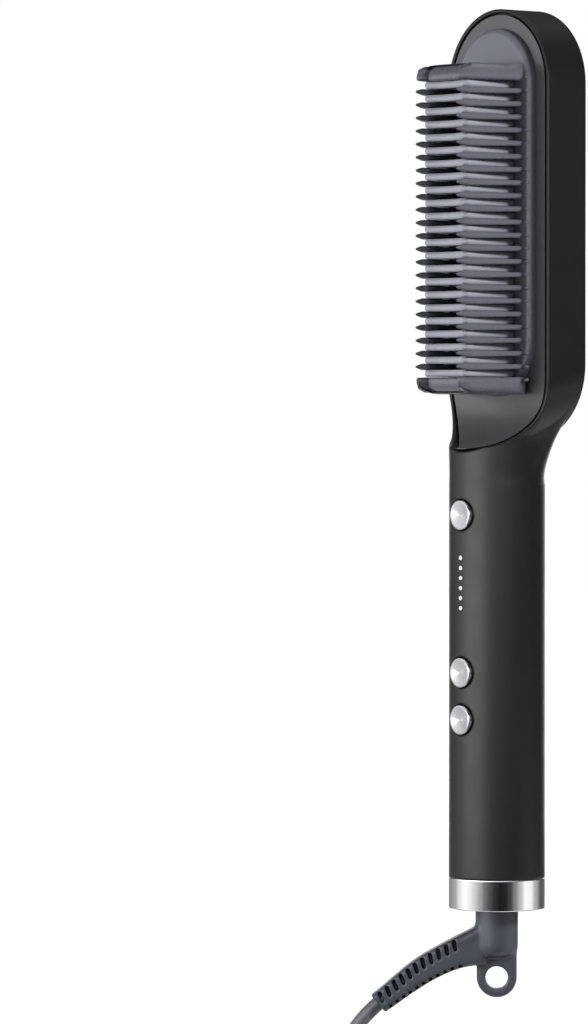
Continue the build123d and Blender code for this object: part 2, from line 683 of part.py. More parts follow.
def make_switches():
    """Three tact switches under the buttons, each with its plunger."""
    places = [(0, up(height)) for height in BUTTON_HEIGHTS.values()]
    with BuildPart() as tact_switches:
        with BuildSketch(front_plane(BOARD_FRONT)):
            with Locations(*places):
                Rectangle(SWITCH_SIZE, SWITCH_SIZE)
        extrude(amount=SWITCH_BODY)
        with BuildSketch(front_plane(BOARD_FRONT - SWITCH_BODY)):
            with Locations(*places):
                Circle(PLUNGER_RADIUS)
        extrude(amount=PLUNGER_HEIGHT)
    return tact_switches


def light_places():
    """The indicator lights' places, on a front plane."""
    return [(0, up(LIGHT_LOW + i * LIGHT_PITCH)) for i in range(LIGHTS)]


def make_leds():
    """Six small light-emitting diodes on the board."""
    with BuildPart() as status_leds:
        with BuildSketch(front_plane(BOARD_FRONT)):
            with Locations(*light_places()):
                Rectangle(LED_WIDTH, LED_WIDTH / 2)
        extrude(amount=LED_HEIGHT)
    return status_leds


def make_light_pipes():
    """Six clear pins on one bar, from the diodes to the handle's surface."""
    with BuildPart() as led_light_pipes:
        with BuildSketch(front_plane(BOARD_FRONT - LED_HEIGHT - FIT_GAP)):
            with Locations(*light_places()):
                Circle(LIGHT_RADIUS)
        extrude(amount=HANDLE_RADIUS + BOARD_FRONT - LED_HEIGHT - FIT_GAP + LIGHT_GAP)
        with BuildSketch(front_plane(-BORE_RADIUS + PIPE_BAR + 2 * FIT_GAP)):
            with Locations((0, up(LIGHT_LOW + (LIGHTS - 1) / 2 * LIGHT_PITCH))):
                Rectangle(4 * LIGHT_RADIUS, (LIGHTS + 0.4) * LIGHT_PITCH)
        extrude(amount=PIPE_BAR)
    return led_light_pipes


def on_board(low, height, width, thickness):
    """A plain component body standing on the board's front, from a height upwards."""
    with BuildPart() as component:
        with BuildSketch(front_plane(BOARD_FRONT)):
            with Locations((0, up(low + height / 2))):
                Rectangle(width, height)
        extrude(amount=thickness)
        fillet(component.faces().sort_by(Axis.Y)[0].edges(), thickness / 8)
    return component


def make_wires(routes, radius, bend):
    """Round wires along routes of points given as (x, y, height)."""
    with BuildPart() as wires:
        for route in routes:
            points = [(x, y, up(height)) for x, y, height in route]
            with BuildLine() as path:
                FilletPolyline(*points, radius=bend)
            with BuildSketch(Plane(origin=path.line @ 0, z_dir=path.line % 0)):
                Circle(radius)
            sweep(path=path.line)
    return wires


def make_heater_leads():
    """Two leads from the board's end through the neck to the rear contact plate."""
    solder = (BOARD_FRONT + TRAY_FRONT) / 2
    back = TILE_BACK + ELECTRODE_THICKNESS
    behind = CLAMP_BACK + WIRE_RADIUS
    joint = WINDOW_LOW + TILE_MARGIN
    routes = [[(x, solder, BOARD_HIGH), (x, solder, BOARD_HIGH + 2), (x, behind, RAMP_LOW - 6),
               (x, behind, joint), (x, back, joint)] for x in (-LEAD_X, LEAD_X)]
    return make_wires(routes, WIRE_RADIUS, LEAD_BEND)


def make_supply_leads():
    """Two leads from the brush contacts to the board's lower end."""
    solder = (BOARD_FRONT + TRAY_FRONT) / 2
    top = CAP_TOP + CONTACT_HEIGHT
    routes = [[(side * CONTACT_X, 0, top), (side * CONTACT_X, 0, top + 8),
               (side * LEAD_X, solder, BOARD_LOW - 6), (side * LEAD_X, solder, BOARD_LOW)]
              for side in (-1, 1)]
    return make_wires(routes, WIRE_RADIUS, LEAD_BEND)


def make_button(height):
    """A push button: dished round cap, retaining flange and stem."""
    face = -HANDLE_RADIUS - BUTTON_PROUD
    flange_front = -sqrt(BORE_RADIUS ** 2 - BUTTON_FLANGE_RADIUS ** 2) + BUTTON_GAP
    flange_back = flange_front + BUTTON_FLANGE
    tip = BOARD_FRONT - SWITCH_BODY - PLUNGER_HEIGHT - BUTTON_TRAVEL - SWITCH_REST_GAP
    with BuildPart() as button:
        with BuildSketch(Plane.YZ):
            with BuildLine():
                Polyline((tip, up(height)), (tip, up(height) + BUTTON_STEM_RADIUS),
                         (flange_back, up(height) + BUTTON_STEM_RADIUS),
                         (flange_back, up(height) + BUTTON_FLANGE_RADIUS),
                         (flange_front, up(height) + BUTTON_FLANGE_RADIUS),
                         (flange_front, up(height) + BUTTON_RADIUS),
                         (face + BUTTON_CHAMFER, up(height) + BUTTON_RADIUS),
                         (face, up(height) + BUTTON_RADIUS - BUTTON_CHAMFER),
                         (face, up(height) + BUTTON_RADIUS - 2 * BUTTON_CHAMFER),
                         (face + BUTTON_DISH, up(height) + BUTTON_RADIUS - 3 * BUTTON_CHAMFER),
                         (face + BUTTON_DISH, up(height)), close=True)
            make_face()
        revolve(axis=Axis((0, 0, up(height)), (0, 1, 0)))
    return button


def ring_solid(low, high, outer, inner):
    """A plain round collar about the handle's axis."""
    with BuildPart() as collar:
        with BuildSketch(Plane.XY.offset(up(low))):
            Circle(outer)
            Circle(inner, mode=Mode.SUBTRACT)
        extrude(amount=high - low)
    return collar


def make_end_ring():
    """The bright end ring: rounded lower edge, floor with the swivel's hole, spigot in the tube."""
    with BuildPart() as end_ring:
        with BuildSketch(Plane.XY.offset(up(RING_LOW))):
            Circle(HANDLE_RADIUS)
        extrude(amount=RING_HEIGHT - RING_LOW)
        fillet(end_ring.edges().group_by(Axis.Z)[0], RING_ROUND)
        with BuildSketch(Plane.XY.offset(up(RING_HEIGHT))):
            Circle(BORE_RADIUS - TRAY_GAP)
        extrude(amount=SPIGOT_LENGTH)
        with BuildSketch(Plane.XY.offset(up(RING_FLOOR))):
            Circle(BUSH_RADIUS + TRAY_GAP)
        extrude(amount=RING_HEIGHT + SPIGOT_LENGTH - RING_FLOOR, mode=Mode.SUBTRACT)
        with BuildSketch(Plane.XY.offset(up(RING_LOW))):
            Circle(STUB_RADIUS + SWIVEL_GAP)
        extrude(amount=RING_FLOOR - RING_LOW, mode=Mode.SUBTRACT)
    return end_ring


def make_bush():
    """The swivel's bearing: a bored cup in the end ring that holds the stub's flange."""
    with BuildPart() as swivel_bush:
        with BuildSketch(Plane.XY.offset(up(RING_FLOOR))):
            Circle(BUSH_RADIUS)
        extrude(amount=CAP_LOW - RING_FLOOR)
        with BuildSketch(Plane.XY.offset(up(RING_FLOOR))):
            Circle(STUB_RADIUS + BEARING_GAP)
        extrude(amount=BUSH_HEIGHT, mode=Mode.SUBTRACT)
        with BuildSketch(Plane.XY.offset(up(RING_FLOOR + BUSH_HEIGHT))):
            Circle(STUB_FLANGE_RADIUS + SWIVEL_GAP)
        extrude(amount=CAP_LOW - RING_FLOOR - BUSH_HEIGHT, mode=Mode.SUBTRACT)
    return swivel_bush


def make_contacts():
    """Two sprung leaves on posts, each level with its slip ring."""
    reach = SLIP_RING_RADIUS + SWIVEL_GAP
    with BuildPart() as brush_contacts:
        for side, low in ((1, SLIP_LOW), (-1, SLIP_LOW + SLIP_RING_HEIGHT + SLIP_SPACE)):
            with BuildSketch(Plane.XY.offset(up(CAP_TOP))):
                with Locations((side * CONTACT_X, 0)):
                    Rectangle(CONTACT_POST, CONTACT_POST)
            extrude(amount=CONTACT_HEIGHT)
            middle = side * (reach + CONTACT_X) / 2
            with BuildSketch(Plane.XY.offset(up(low + SLIP_RING_HEIGHT / 4))):
                with Locations((middle, 0)):
                    Rectangle(CONTACT_X - reach, CONTACT_POST)
            extrude(amount=SLIP_RING_HEIGHT / 2)
    return brush_contacts


def make_stub():
    """The swivel's stub: spigot in the guard, journal, flange and slip-ring shank, all bored."""
    steps = ((-STUB_DROP, GUARD_TOP, GUARD_SPIGOT_RADIUS), (GUARD_TOP, FLANGE_LOW, STUB_RADIUS),
             (FLANGE_LOW, FLANGE_LOW + STUB_FLANGE, STUB_FLANGE_RADIUS),
             (FLANGE_LOW + STUB_FLANGE, STUB_TOP, SPIGOT_RADIUS))
    with BuildPart() as swivel_stub:
        for low, high, radius in steps:
            with BuildSketch(Plane.XY.offset(up(low))):
                Circle(radius)
                Circle(STUB_HOLE, mode=Mode.SUBTRACT)
            extrude(amount=high - low)
    return swivel_stub


def make_slip_rings():
    """Two brass rings round the stub's shank."""
    with BuildPart() as slip_rings:
        for low in (SLIP_LOW, SLIP_LOW + SLIP_RING_HEIGHT + SLIP_SPACE):
            with BuildSketch(Plane.XY.offset(up(low))):
                Circle(SLIP_RING_RADIUS)
                Circle(SPIGOT_RADIUS, mode=Mode.SUBTRACT)
            extrude(amount=SLIP_RING_HEIGHT)
    return slip_rings


def guard_knuckle():
    """The guard's round knuckle under the swivel, rounded below."""
    with BuildPart() as knuckle:
        with BuildSketch(Plane.XY.offset(up(KNUCKLE_BOTTOM))):
            Circle(STUB_RADIUS)
        extrude(amount=GUARD_TOP - KNUCKLE_BOTTOM)
        fillet(knuckle.edges().sort_by(Axis.Z)[0], KNUCKLE_ROUND)
    return knuckle.part


def guard_loop():
    """The flat hanging loop under the knuckle, before its hole."""
    with BuildPart() as loop:
        with BuildSketch(cord_plane()):
            with Locations((0, LOOP_CENTRE)):
                Circle(LOOP_RADIUS)
                Rectangle(2 * LOOP_RADIUS, KNUCKLE_BOTTOM - LOOP_CENTRE + KNUCKLE_ROUND,
                          align=(Align.CENTER, Align.MIN))
        extrude(amount=LOOP_HALF_THICKNESS, both=True)
        fillet(loop.faces().filter_by(cord_plane()).edges(), LOOP_EDGE_ROUND)
    return loop.part


def make_guard():
    """The soft cord guard: knuckle under the swivel, hanging loop and ribbed arm."""
    with BuildPart() as cord_guard:
        with BuildSketch(cord_plane()):
            with BuildLine():
                Spline(*ARM_TOP)
                Line(ARM_TOP[-1], ARM_BOTTOM[0])
                Spline(*ARM_BOTTOM)
                Line(ARM_BOTTOM[-1], ARM_TOP[0])
            make_face()
        extrude(amount=ARM_HALF_THICKNESS, both=True)
        along = [edge for edge in cord_guard.edges() if edge.length > 2 * ARM_HALF_THICKNESS + 20]
        fillet(along, ARM_EDGE_ROUND)
        add(guard_knuckle())
        add(guard_loop())
        with BuildSketch(cord_plane()):
            with Locations((0, LOOP_CENTRE)):
                Circle(LOOP_HOLE_RADIUS)
        extrude(amount=LOOP_HALF_THICKNESS, both=True, mode=Mode.SUBTRACT)
        with BuildSketch(Plane.XY.offset(up(-STUB_DROP))):
            Circle(GUARD_SPIGOT_RADIUS)
        extrude(amount=STUB_DROP + GUARD_TOP, mode=Mode.SUBTRACT)
        for side in (-1, 1):
            extrude(guard_slots(side * SLOT_WEB / 2), amount=side * ARM_HALF_THICKNESS,
                    mode=Mode.SUBTRACT)
    return cord_guard


def guard_slots(out):
    """The flex slots below the arm's upper edge and the small ones above its lower edge."""
    upper = Spline(*ARM_TOP)
    lower = Spline(*reversed(ARM_BOTTOM))
    with BuildSketch(cord_plane(out)) as slots:
        for i in range(SLOTS):
            share = SLOT_FIRST + i * (SLOT_LAST - SLOT_FIRST) / (SLOTS - 1)
            for edge, low, high, lean in ((upper, SLOT_INSET, SLOT_INSET + SLOT_DEPTH, SLOT_LEAN),
                                          (lower, -NOTCH_INSET - NOTCH_DEPTH, -NOTCH_INSET, 0)):
                place = edge @ share
                turn = edge.tangent_angle_at(share) - lean
                with Locations(Location((place.X, place.Y, 0), (0, 0, turn))):
                    with Locations((0, (low + high) / 2)):
                        Rectangle(SLOT_WIDTH, high - low)
    return slots.sketch


def hank_outline():
    """The hank seen from the side: round folds at both ends and a tied waist."""
    low = HANK_TOP - HANK_HEIGHT + HANK_END_RADIUS
    high = HANK_TOP - HANK_END_RADIUS
    with BuildSketch(cord_plane()) as outline:
        with Locations((HANK_CENTRE, low), (HANK_CENTRE, high)):
            Circle(HANK_END_RADIUS)
        with Locations((HANK_CENTRE, (low + high) / 2)):
            Rectangle(HANK_WAIST, high - low)
    return outline.sketch


def make_hank():
    """The outer shape of the folded and tied lead."""
    with BuildPart() as cord_hank:
        extrude(hank_outline(), amount=HANK_DEPTH / 2, both=True)
    return cord_hank


def make_tie():
    """The band round the hank's waist."""
    middle = HANK_TOP - HANK_HEIGHT / 2
    with BuildPart() as hank_tie:
        with BuildSketch(cord_plane()):
            with Locations((HANK_CENTRE, middle)):
                Rectangle(HANK_WAIST + 2 * TIE_THICKNESS, TIE_HEIGHT)
        extrude(amount=HANK_DEPTH / 2 + TIE_THICKNESS, both=True)
        with BuildSketch(cord_plane()):
            with Locations((HANK_CENTRE, middle)):
                Rectangle(HANK_WAIST, TIE_HEIGHT)
        extrude(amount=HANK_DEPTH / 2, both=True, mode=Mode.SUBTRACT)
    return hank_tie


def lead_points():
    """The lead's route from the guard into the hank, as (u, height, out) in the cord plane."""
    return [(*CORD_START, 0), (-40.06, -33.7, 0), (-44.76, -40.2, 0), (-48.5, -50.5, 0),
            (-48.9, -62.5, 0), (-46.4, -75.3, 0)]


def tail_points():
    """The route of the lead's other end, from the hank's lower fold round to the plug."""
    low = HANK_TOP - HANK_HEIGHT + TAIL_FOLD_RISE
    radius = TAIL_FOLD_WIDTH / 2
    short = radius * tan(radians(22.5))
    middle = TAIL_BACK + radius
    far = TAIL_BACK + TAIL_FOLD_WIDTH
    return [(HANK_CENTRE, low + short, TAIL_BACK), (HANK_CENTRE, low - short, TAIL_BACK),
            (HANK_CENTRE, low - radius, middle - short), (HANK_CENTRE, low - radius, middle + short),
            (HANK_CENTRE, low - short, far), (HANK_CENTRE, low + short, far)]


def make_tube(route, cut=None):
    """A plain cord tube along a route: straight runs joined by the largest arcs that fit."""
    points = [cord_plane().from_local_coords(Vector(*point)) for point in route]
    runs = [b - a for a, b in zip(points, points[1:])]
    radii = []
    for before, after in zip(runs, runs[1:]):
        half_turn = radians(before.get_angle(after) / 2)
        radii.append(0.45 * min(before.length, after.length) / tan(half_turn))
    print("cord radii", [round(radius, 1) for radius in radii])
    with BuildPart() as tube:
        with BuildLine() as path:
            FilletPolyline(*points, radius=radii)
        with BuildSketch(Plane(origin=points[0], z_dir=runs[0])):
            Circle(CORD_RADIUS)
        sweep(path=path.line)
        if cut is not None:
            add(cut, mode=Mode.SUBTRACT)
    length = sum(edge.length for edge in path.line.edges())
    print("cord length", round(length, 1), "volume", round(tube.part.volume))
    return tube


def plug_place(height):
    """A level plane across the plug's axis, at a height above its neck's lower end."""
    low = HANK_TOP - HANK_HEIGHT + TAIL_FOLD_RISE + TAIL_FOLD_WIDTH / 2 * tan(radians(22.5))
    plane = cord_plane()
    origin = plane.from_local_coords(Vector(HANK_CENTRE, low + height, TAIL_BACK + TAIL_FOLD_WIDTH))
    return Plane(origin=origin, x_dir=plane.x_dir, z_dir=(0, 0, 1))


def make_plug():
    """The flat two-pin plug: tapered neck and a waisted oval body."""
    sizes = ((PLUG_NECK, PLUG_WIDTH * 0.42, PLUG_THICKNESS * 0.72),
             (PLUG_NECK + PLUG_LENGTH * 0.45, PLUG_WIDTH * 0.74, PLUG_THICKNESS * 0.86),
             (PLUG_NECK + PLUG_LENGTH, PLUG_WIDTH, PLUG_THICKNESS))
    with BuildPart() as plug_body:
        for height, width, thickness in sizes:
            with BuildSketch(plug_place(height)):
                RectangleRounded(width, thickness, thickness * 0.45)
        loft(ruled=True)
        for height, radius in ((0, CORD_RADIUS + NECK_WALL), (PLUG_NECK, CORD_RADIUS + 2 * NECK_WALL)):
            with BuildSketch(plug_place(height)):
                Circle(radius)
        loft()
    return plug_body


def make_pins():
    """Two round pins with insulated roots."""
    face = PLUG_NECK + PLUG_LENGTH
    with BuildPart() as plug_pins:
        with BuildSketch(plug_place(face)):
            with Locations((-PIN_SPACING / 2, 0), (PIN_SPACING / 2, 0)):
                Circle(PIN_RADIUS)
        extrude(amount=PIN_LENGTH)
        fillet(plug_pins.edges().group_by(Axis.Z)[-1], PIN_RADIUS / 2)
    return plug_pins


def build_head(form):
    """Housing, panel, comb, heater and back trim."""
    save(make_housing(form), "main_housing")
    save(make_front_panel(form), "front_panel")
    save(make_comb(), "comb_frame")
    save(make_fins(), "heating_fins")
    save(make_tiles(), "ptc_tiles")
    save(make_electrodes(), "electrode_plates")
    save(slab(CLAMP_FRONT - INSULATION_THICKNESS, INSULATION_THICKNESS, TILE_WIDTH / 2,
              FIRST_ROW + 2 * TILE_MARGIN, LAST_ROW - 2 * TILE_MARGIN), "insulation_film")
    save(make_clamp(), "heater_clamp")
    save(make_screws(), "clamp_screws")
    save(make_thermistor(), "thermistor")
    save(make_fuse(), "thermal_fuse")
    save(make_back_ring(), "back_ring")
    save(make_back_plate(), "back_plate")


def build_electronics():
    """Board, tray, switches, lights, leads and the three buttons."""
    save(make_board(), "main_board")
    save(make_tray(), "board_tray")
    save(make_switches(), "tact_switches")
    save(make_leds(), "status_leds")
    save(make_light_pipes(), "led_light_pipes")
    save(on_board(MINUS_HEIGHT - BUTTON_ROOM - CAPACITOR_SIZE[0], *CAPACITOR_SIZE), "film_capacitor")
    save(on_board(PLUS_HEIGHT + BUTTON_ROOM, *RELAY_SIZE), "relay")
    save(on_board(POWER_HEIGHT - BUTTON_ROOM - CHIP_SIZE[0], *CHIP_SIZE), "control_chip")
    save(make_heater_leads(), "heater_leads")
    save(make_supply_leads(), "supply_leads")
    for name, height in BUTTON_HEIGHTS.items():
        save(make_button(height), name)


def build_swivel():
    """End ring, swivel bearing, slip rings and cord guard."""
    save(make_end_ring(), "end_ring")
    save(make_bush(), "swivel_bush")
    save(ring_solid(CAP_LOW, CAP_TOP, BUSH_RADIUS, SLIP_RING_RADIUS + SWIVEL_GAP), "bush_cap")
    save(make_contacts(), "brush_contacts")
    save(make_stub(), "swivel_stub")
    save(make_slip_rings(), "slip_rings")
    save(make_guard(), "cord_guard")


def build_lead():
    """Mains lead, its hank and tie, and the plug."""
    hank = make_hank()
    save(hank, "cord_hank")
    save(make_tie(), "hank_tie")
    save(make_tube(lead_points(), hank.part), "power_cord")
    save(make_tube(tail_points(), hank.part), "cord_tail")
    save(make_plug(), "plug_body")
    save(make_pins(), "plug_pins")


build_head(body_form())
build_electronics()
build_swivel()
build_lead()
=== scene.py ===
"""Dresses the heated comb brush: finer meshes, finishes, the mains lead, studio and camera.

Sizes are in millimetres. Heights are measured from the handle's lower end, as in the frame, whose
origin lies on the handle's axis at the middle of the grip.
"""
import logging
from dataclasses import dataclass, field
from enum import Enum
from math import cos, hypot, pi, radians, sin, sqrt, tau
from typing import Optional, Sequence

import bmesh
import bpy
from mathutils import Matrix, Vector
from mathutils.geometry import tessellate_polygon


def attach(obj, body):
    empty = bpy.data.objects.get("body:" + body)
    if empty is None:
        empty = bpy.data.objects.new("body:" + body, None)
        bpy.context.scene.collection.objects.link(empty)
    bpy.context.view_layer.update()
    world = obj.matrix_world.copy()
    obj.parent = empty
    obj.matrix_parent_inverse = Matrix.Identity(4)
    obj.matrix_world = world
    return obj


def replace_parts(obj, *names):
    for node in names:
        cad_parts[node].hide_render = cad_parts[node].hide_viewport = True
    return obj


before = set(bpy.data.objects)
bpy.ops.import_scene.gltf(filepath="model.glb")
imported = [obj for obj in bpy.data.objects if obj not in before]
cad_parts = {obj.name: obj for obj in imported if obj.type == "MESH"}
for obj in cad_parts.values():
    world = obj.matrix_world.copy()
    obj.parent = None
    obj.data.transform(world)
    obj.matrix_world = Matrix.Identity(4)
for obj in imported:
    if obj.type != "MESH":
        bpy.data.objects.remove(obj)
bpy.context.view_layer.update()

LOG = logging.getLogger("brush")

MM = 0.001
GRIP_HEIGHT = 66.0
GUARD_TURN = radians(49.0)
# Radius, in mm, at which a turned section stops short of its axis
NEAR_AXIS = 0.02
# Length, in mm, of one step along an outline's straight side
SIDE_STEP = 4.0
# Share of a side, from each of its corners, that a corner's round may take up
ROUND_REACH = 0.45
# Spacing of a wave texture's bands at a scale of 1, in the texture's own units
WAVE_SPACING = 0.314

Point = tuple[float, float]
Loop = list[Point]


# ---------------------------------------------------------------- places and outlines


@dataclass(frozen=True)
class Seat:
    """A flat working plane: two axes in it and one that stands out of it."""

    right: tuple[float, float, float]
    up: tuple[float, float, float]
    out: tuple[float, float, float]
    origin: tuple[float, float, float] = (0.0, 0.0, 0.0)

    def at(self, x: float, y: float, depth: float = 0.0) -> Vector:
        """Places a point.

        Args:
            x: Distance along the plane's right axis, in mm.
            y: Distance along the plane's up axis, in mm.
            depth: Distance out of the plane, in mm.

        Returns:
            The point in the frame, in metres.
        """
        place = (Vector(self.origin) + x * Vector(self.right) + y * Vector(self.up)
                 + depth * Vector(self.out))
        return place * MM

    def ring(self, outline: Loop, depth: float) -> list[Vector]:
        """Places a whole outline at one depth."""
        return [self.at(x, y, depth) for x, y in outline]


def up(height: float) -> float:
    """Height above the handle's end, as a z in mm from the frame's origin."""
    return height - GRIP_HEIGHT


FRONT = Seat((1, 0, 0), (0, 0, 1), (0, -1, 0))
BACK = Seat((1, 0, 0), (0, 0, 1), (0, 1, 0))
PLAN = Seat((1, 0, 0), (0, 1, 0), (0, 0, 1))
CORD = Seat((cos(GUARD_TURN), sin(GUARD_TURN), 0), (0, 0, 1),
            (sin(GUARD_TURN), -cos(GUARD_TURN), 0), (0, 0, -GRIP_HEIGHT))


def ramp(value: float, start: float, run: float) -> float:
    """A share that climbs from 0 to 1 while the value goes from the start over the run."""
    return min(1.0, max(0.0, (value - start) / run))


def circle(radius: float, count: int, centre: Point = (0.0, 0.0)) -> Loop:
    """A circle's points, anticlockwise."""
    return [(centre[0] + radius * cos(tau * i / count), centre[1] + radius * sin(tau * i / count))
            for i in range(count)]


def stadium(radius: float, low: float, high: float, arc: int) -> Loop:
    """A stadium standing upright.

    Args:
        radius: Radius of both ends.
        low: Height of the lower end's centre.
        high: Height of the upper end's centre.
        arc: Steps in each half circle.

    Returns:
        Its points, anticlockwise, with steps along the straight sides too.
    """
    sides = max(2, round((high - low) / SIDE_STEP))
    top = [(radius * cos(pi * i / arc), high + radius * sin(pi * i / arc)) for i in range(arc + 1)]
    left = [(-radius, high + (low - high) * i / sides) for i in range(1, sides)]
    foot = [(-radius * cos(pi * i / arc), low - radius * sin(pi * i / arc)) for i in range(arc + 1)]
    right = [(radius, low + (high - low) * i / sides) for i in range(1, sides)]
    return top + left + foot + right


def rounded(corners: Sequence[Point], radii: Sequence[float], steps: int = 5) -> Loop:
    """Rounds each corner of a polygon with an arc.

    Args:
        corners: The polygon's corners.
        radii: One rounding radius for each corner.
        steps: Steps in each arc.

    Returns:
        The rounded outline.
    """
    outline: Loop = []
    count = len(corners)
    for i, radius in enumerate(radii):
        here = Vector(corners[i])
        before = Vector(corners[i - 1]) - here
        after = Vector(corners[(i + 1) % count]) - here
        half = before.angle(after) / 2
        reach = min(radius / max(1e-6, sin(half) / cos(half)), ROUND_REACH * before.length,
                    ROUND_REACH * after.length)
        start, end = here + before.normalized() * reach, here + after.normalized() * reach
        for step in range(steps + 1):
            t = step / steps
            place = start * (1 - t) ** 2 + here * 2 * t * (1 - t) + end * t ** 2
            outline.append((place.x, place.y))
    return outline


def inset(outline: Loop, distance: float) -> Loop:
    """Moves an outline inwards, square to each side.

    Args:
        outline: The outline, anticlockwise.
        distance: How far it moves.

    Returns:
        The moved outline, point for point.
    """
    count = len(outline)
    moved: Loop = []
    for i, (x, y) in enumerate(outline):
        before, after = Vector(outline[i - 1]), Vector(outline[(i + 1) % count])
        along = (after - before).normalized()
        moved.append((x - along.y * distance, y + along.x * distance))
    return moved


# ---------------------------------------------------------------- meshes


@dataclass
class Draft:
    """A mesh being drawn, as loops of points that are joined by faces."""

    verts: list[Vector] = field(default_factory=list)
    faces: list[tuple[int, ...]] = field(default_factory=list)

    def skin(self, loops: Sequence[Sequence[Vector]], wrap: bool = False,
             plan: Optional[Loop] = None) -> None:
        """Joins loops of equal length, one after the other, and closes both ends.

        Args:
            loops: The loops, each closed in itself.
            wrap: Whether the last loop joins the first instead, as in a ring.
            plan: The loops' flat outline, by which the end faces are cut into triangles.
        """
        size = len(loops[0])
        first = len(self.verts)
        for loop in loops:
            self.verts.extend(loop)
        rows = range(len(loops)) if wrap else range(len(loops) - 1)
        for row in rows:
            a, b = first + row * size, first + (row + 1) % len(loops) * size
            for i in range(size):
                j = (i + 1) % size
                self.faces.append((a + i, a + j, b + j, b + i))
        if not wrap:
            last = first + (len(loops) - 1) * size
            cuts = [tuple(range(size))]
            if plan:
                cuts = [tuple(cut) for cut in tessellate_polygon([[Vector((x, y, 0)) for x, y in plan]])]
            self.faces += [tuple(first + i for i in reversed(cut)) for cut in cuts]
            self.faces += [tuple(last + i for i in cut) for cut in cuts]

    def turn(self, profile: Sequence[Point], seat: Seat, centre: Point, count: int,
             closed: bool = False) -> None:
        """Turns a half section about a plane's normal.

        Args:
            profile: Radii and depths, in mm.
            seat: The plane.
            centre: Where the axis stands on it.
            count: Steps round the axis.
            closed: Whether the profile's end joins its start, as in a ring.
        """
        self.skin([seat.ring(circle(radius, count, centre), depth) for radius, depth in profile],
                  wrap=closed)

    def dome(self, centre: Vector, half: Sequence[float]) -> None:
        """Adds a small rounded bump, in metres.

        Args:
            centre: Its middle.
            half: Half of its size along each axis of the frame.
        """
        rings = [i / 4 * pi / 2 for i in range(-3, 4)]
        self.skin([[centre + Vector((half[0] * cos(lift) * x, half[1] * cos(lift) * y,
                                     half[2] * sin(lift))) for x, y in circle(1.0, 12)]
                   for lift in rings])

    def build(self, name: str, finish: "Finish", body: str, sharp: float = 35.0) -> bpy.types.Object:
        """Makes the object.

        Args:
            name: Name of the piece.
            finish: Its finish.
            body: The moving body that it rides on.
            sharp: Angle above which an edge stays sharp, in degrees.

        Returns:
            The new object, dressed and riding on its body.
        """
        mesh = bpy.data.meshes.new(name)
        mesh.from_pydata([tuple(v) for v in self.verts], [], self.faces)
        work = bmesh.new()
        work.from_mesh(mesh)
        bmesh.ops.remove_doubles(work, verts=work.verts, dist=1e-7)
        bmesh.ops.recalc_face_normals(work, faces=work.faces)
        work.to_mesh(mesh)
        work.free()
        piece = bpy.data.objects.new(name, mesh)
        bpy.context.scene.collection.objects.link(piece)
        smooth(piece, sharp)
        dress(piece, finish)
        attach(piece, body)
        LOG.info("%s: %d faces, on %s, in %s", name, len(mesh.polygons), body, finish.name)
        return piece


def smooth(piece: bpy.types.Object, sharp: float) -> None:
    """Shades a mesh smooth, but for edges above an angle in degrees."""
    piece.data.shade_smooth()
    piece.data.set_sharp_from_angle(angle=radians(sharp))


def dress(piece: bpy.types.Object, finish: "Finish") -> None:
    """Gives a piece its finish as the only material."""
    piece.data.materials.clear()
    piece.data.materials.append(finish.material())


def soften(piece: bpy.types.Object, width: float, segments: int = 3, limit: float = 40.0) -> None:
    """Breaks a piece's sharp edges with a small round.

    Args:
        piece: The piece.
        width: Width of the round, in mm.
        segments: Faces across it.
        limit: Least angle of an edge that gets it, in degrees.
    """
    edge = piece.modifiers.new("broken_edges", "BEVEL")
    edge.width = width * MM
    edge.segments = segments
    edge.limit_method = "ANGLE"
    edge.angle_limit = radians(limit)
    edge.harden_normals = True
    edge.use_clamp_overlap = True


def pillow(outline: Loop, half: float, edge: float, steps: int = 4) -> list[tuple[Loop, float]]:
    """A flat piece with rounded edges, as outlines at depths.

    Args:
        outline: Its widest outline, anticlockwise.
        half: Half of its thickness.
        edge: How far its faces stand in from the outline.
        steps: Steps in each rounded edge.

    Returns:
        Pairs of an outline and a depth, from one face to the other.
    """
    layers = []
    for i in range(-steps, steps + 1):
        turn = i / steps * pi / 2
        layers.append((inset(outline, edge * (1 - cos(turn))), half * sin(turn)))
    return layers


# ---------------------------------------------------------------- finishes


def colour(code: str) -> tuple[float, float, float, float]:
    """Turns an sRGB hex value into linear light.

    Args:
        code: The value, such as "#1c1c1d".

    Returns:
        Red, green and blue, and full alpha.
    """
    parts = [int(code[i:i + 2], 16) / 255 for i in (1, 3, 5)]
    linear = [p / 12.92 if p <= 0.04045 else ((p + 0.055) / 1.055) ** 2.4 for p in parts]
    return (linear[0], linear[1], linear[2], 1.0)


def add_node(tree: bpy.types.NodeTree, kind: str, settings: Optional[dict] = None,
             links: Optional[dict] = None) -> bpy.types.Node:
    """Adds one node to a tree.

    Args:
        tree: The node tree.
        kind: The node's Blender type.
        settings: Values of its sockets, by name or number, and of its own properties.
        links: The outputs that feed its sockets, by the socket's name or number.

    Returns:
        The new node.
    """
    node = tree.nodes.new(kind)
    for key, value in (settings or {}).items():
        if isinstance(key, int) or key in node.inputs:
            node.inputs[key].default_value = value
        else:
            setattr(node, key, value)
    for key, source in (links or {}).items():
        tree.links.new(source, node.inputs[key])
    return node


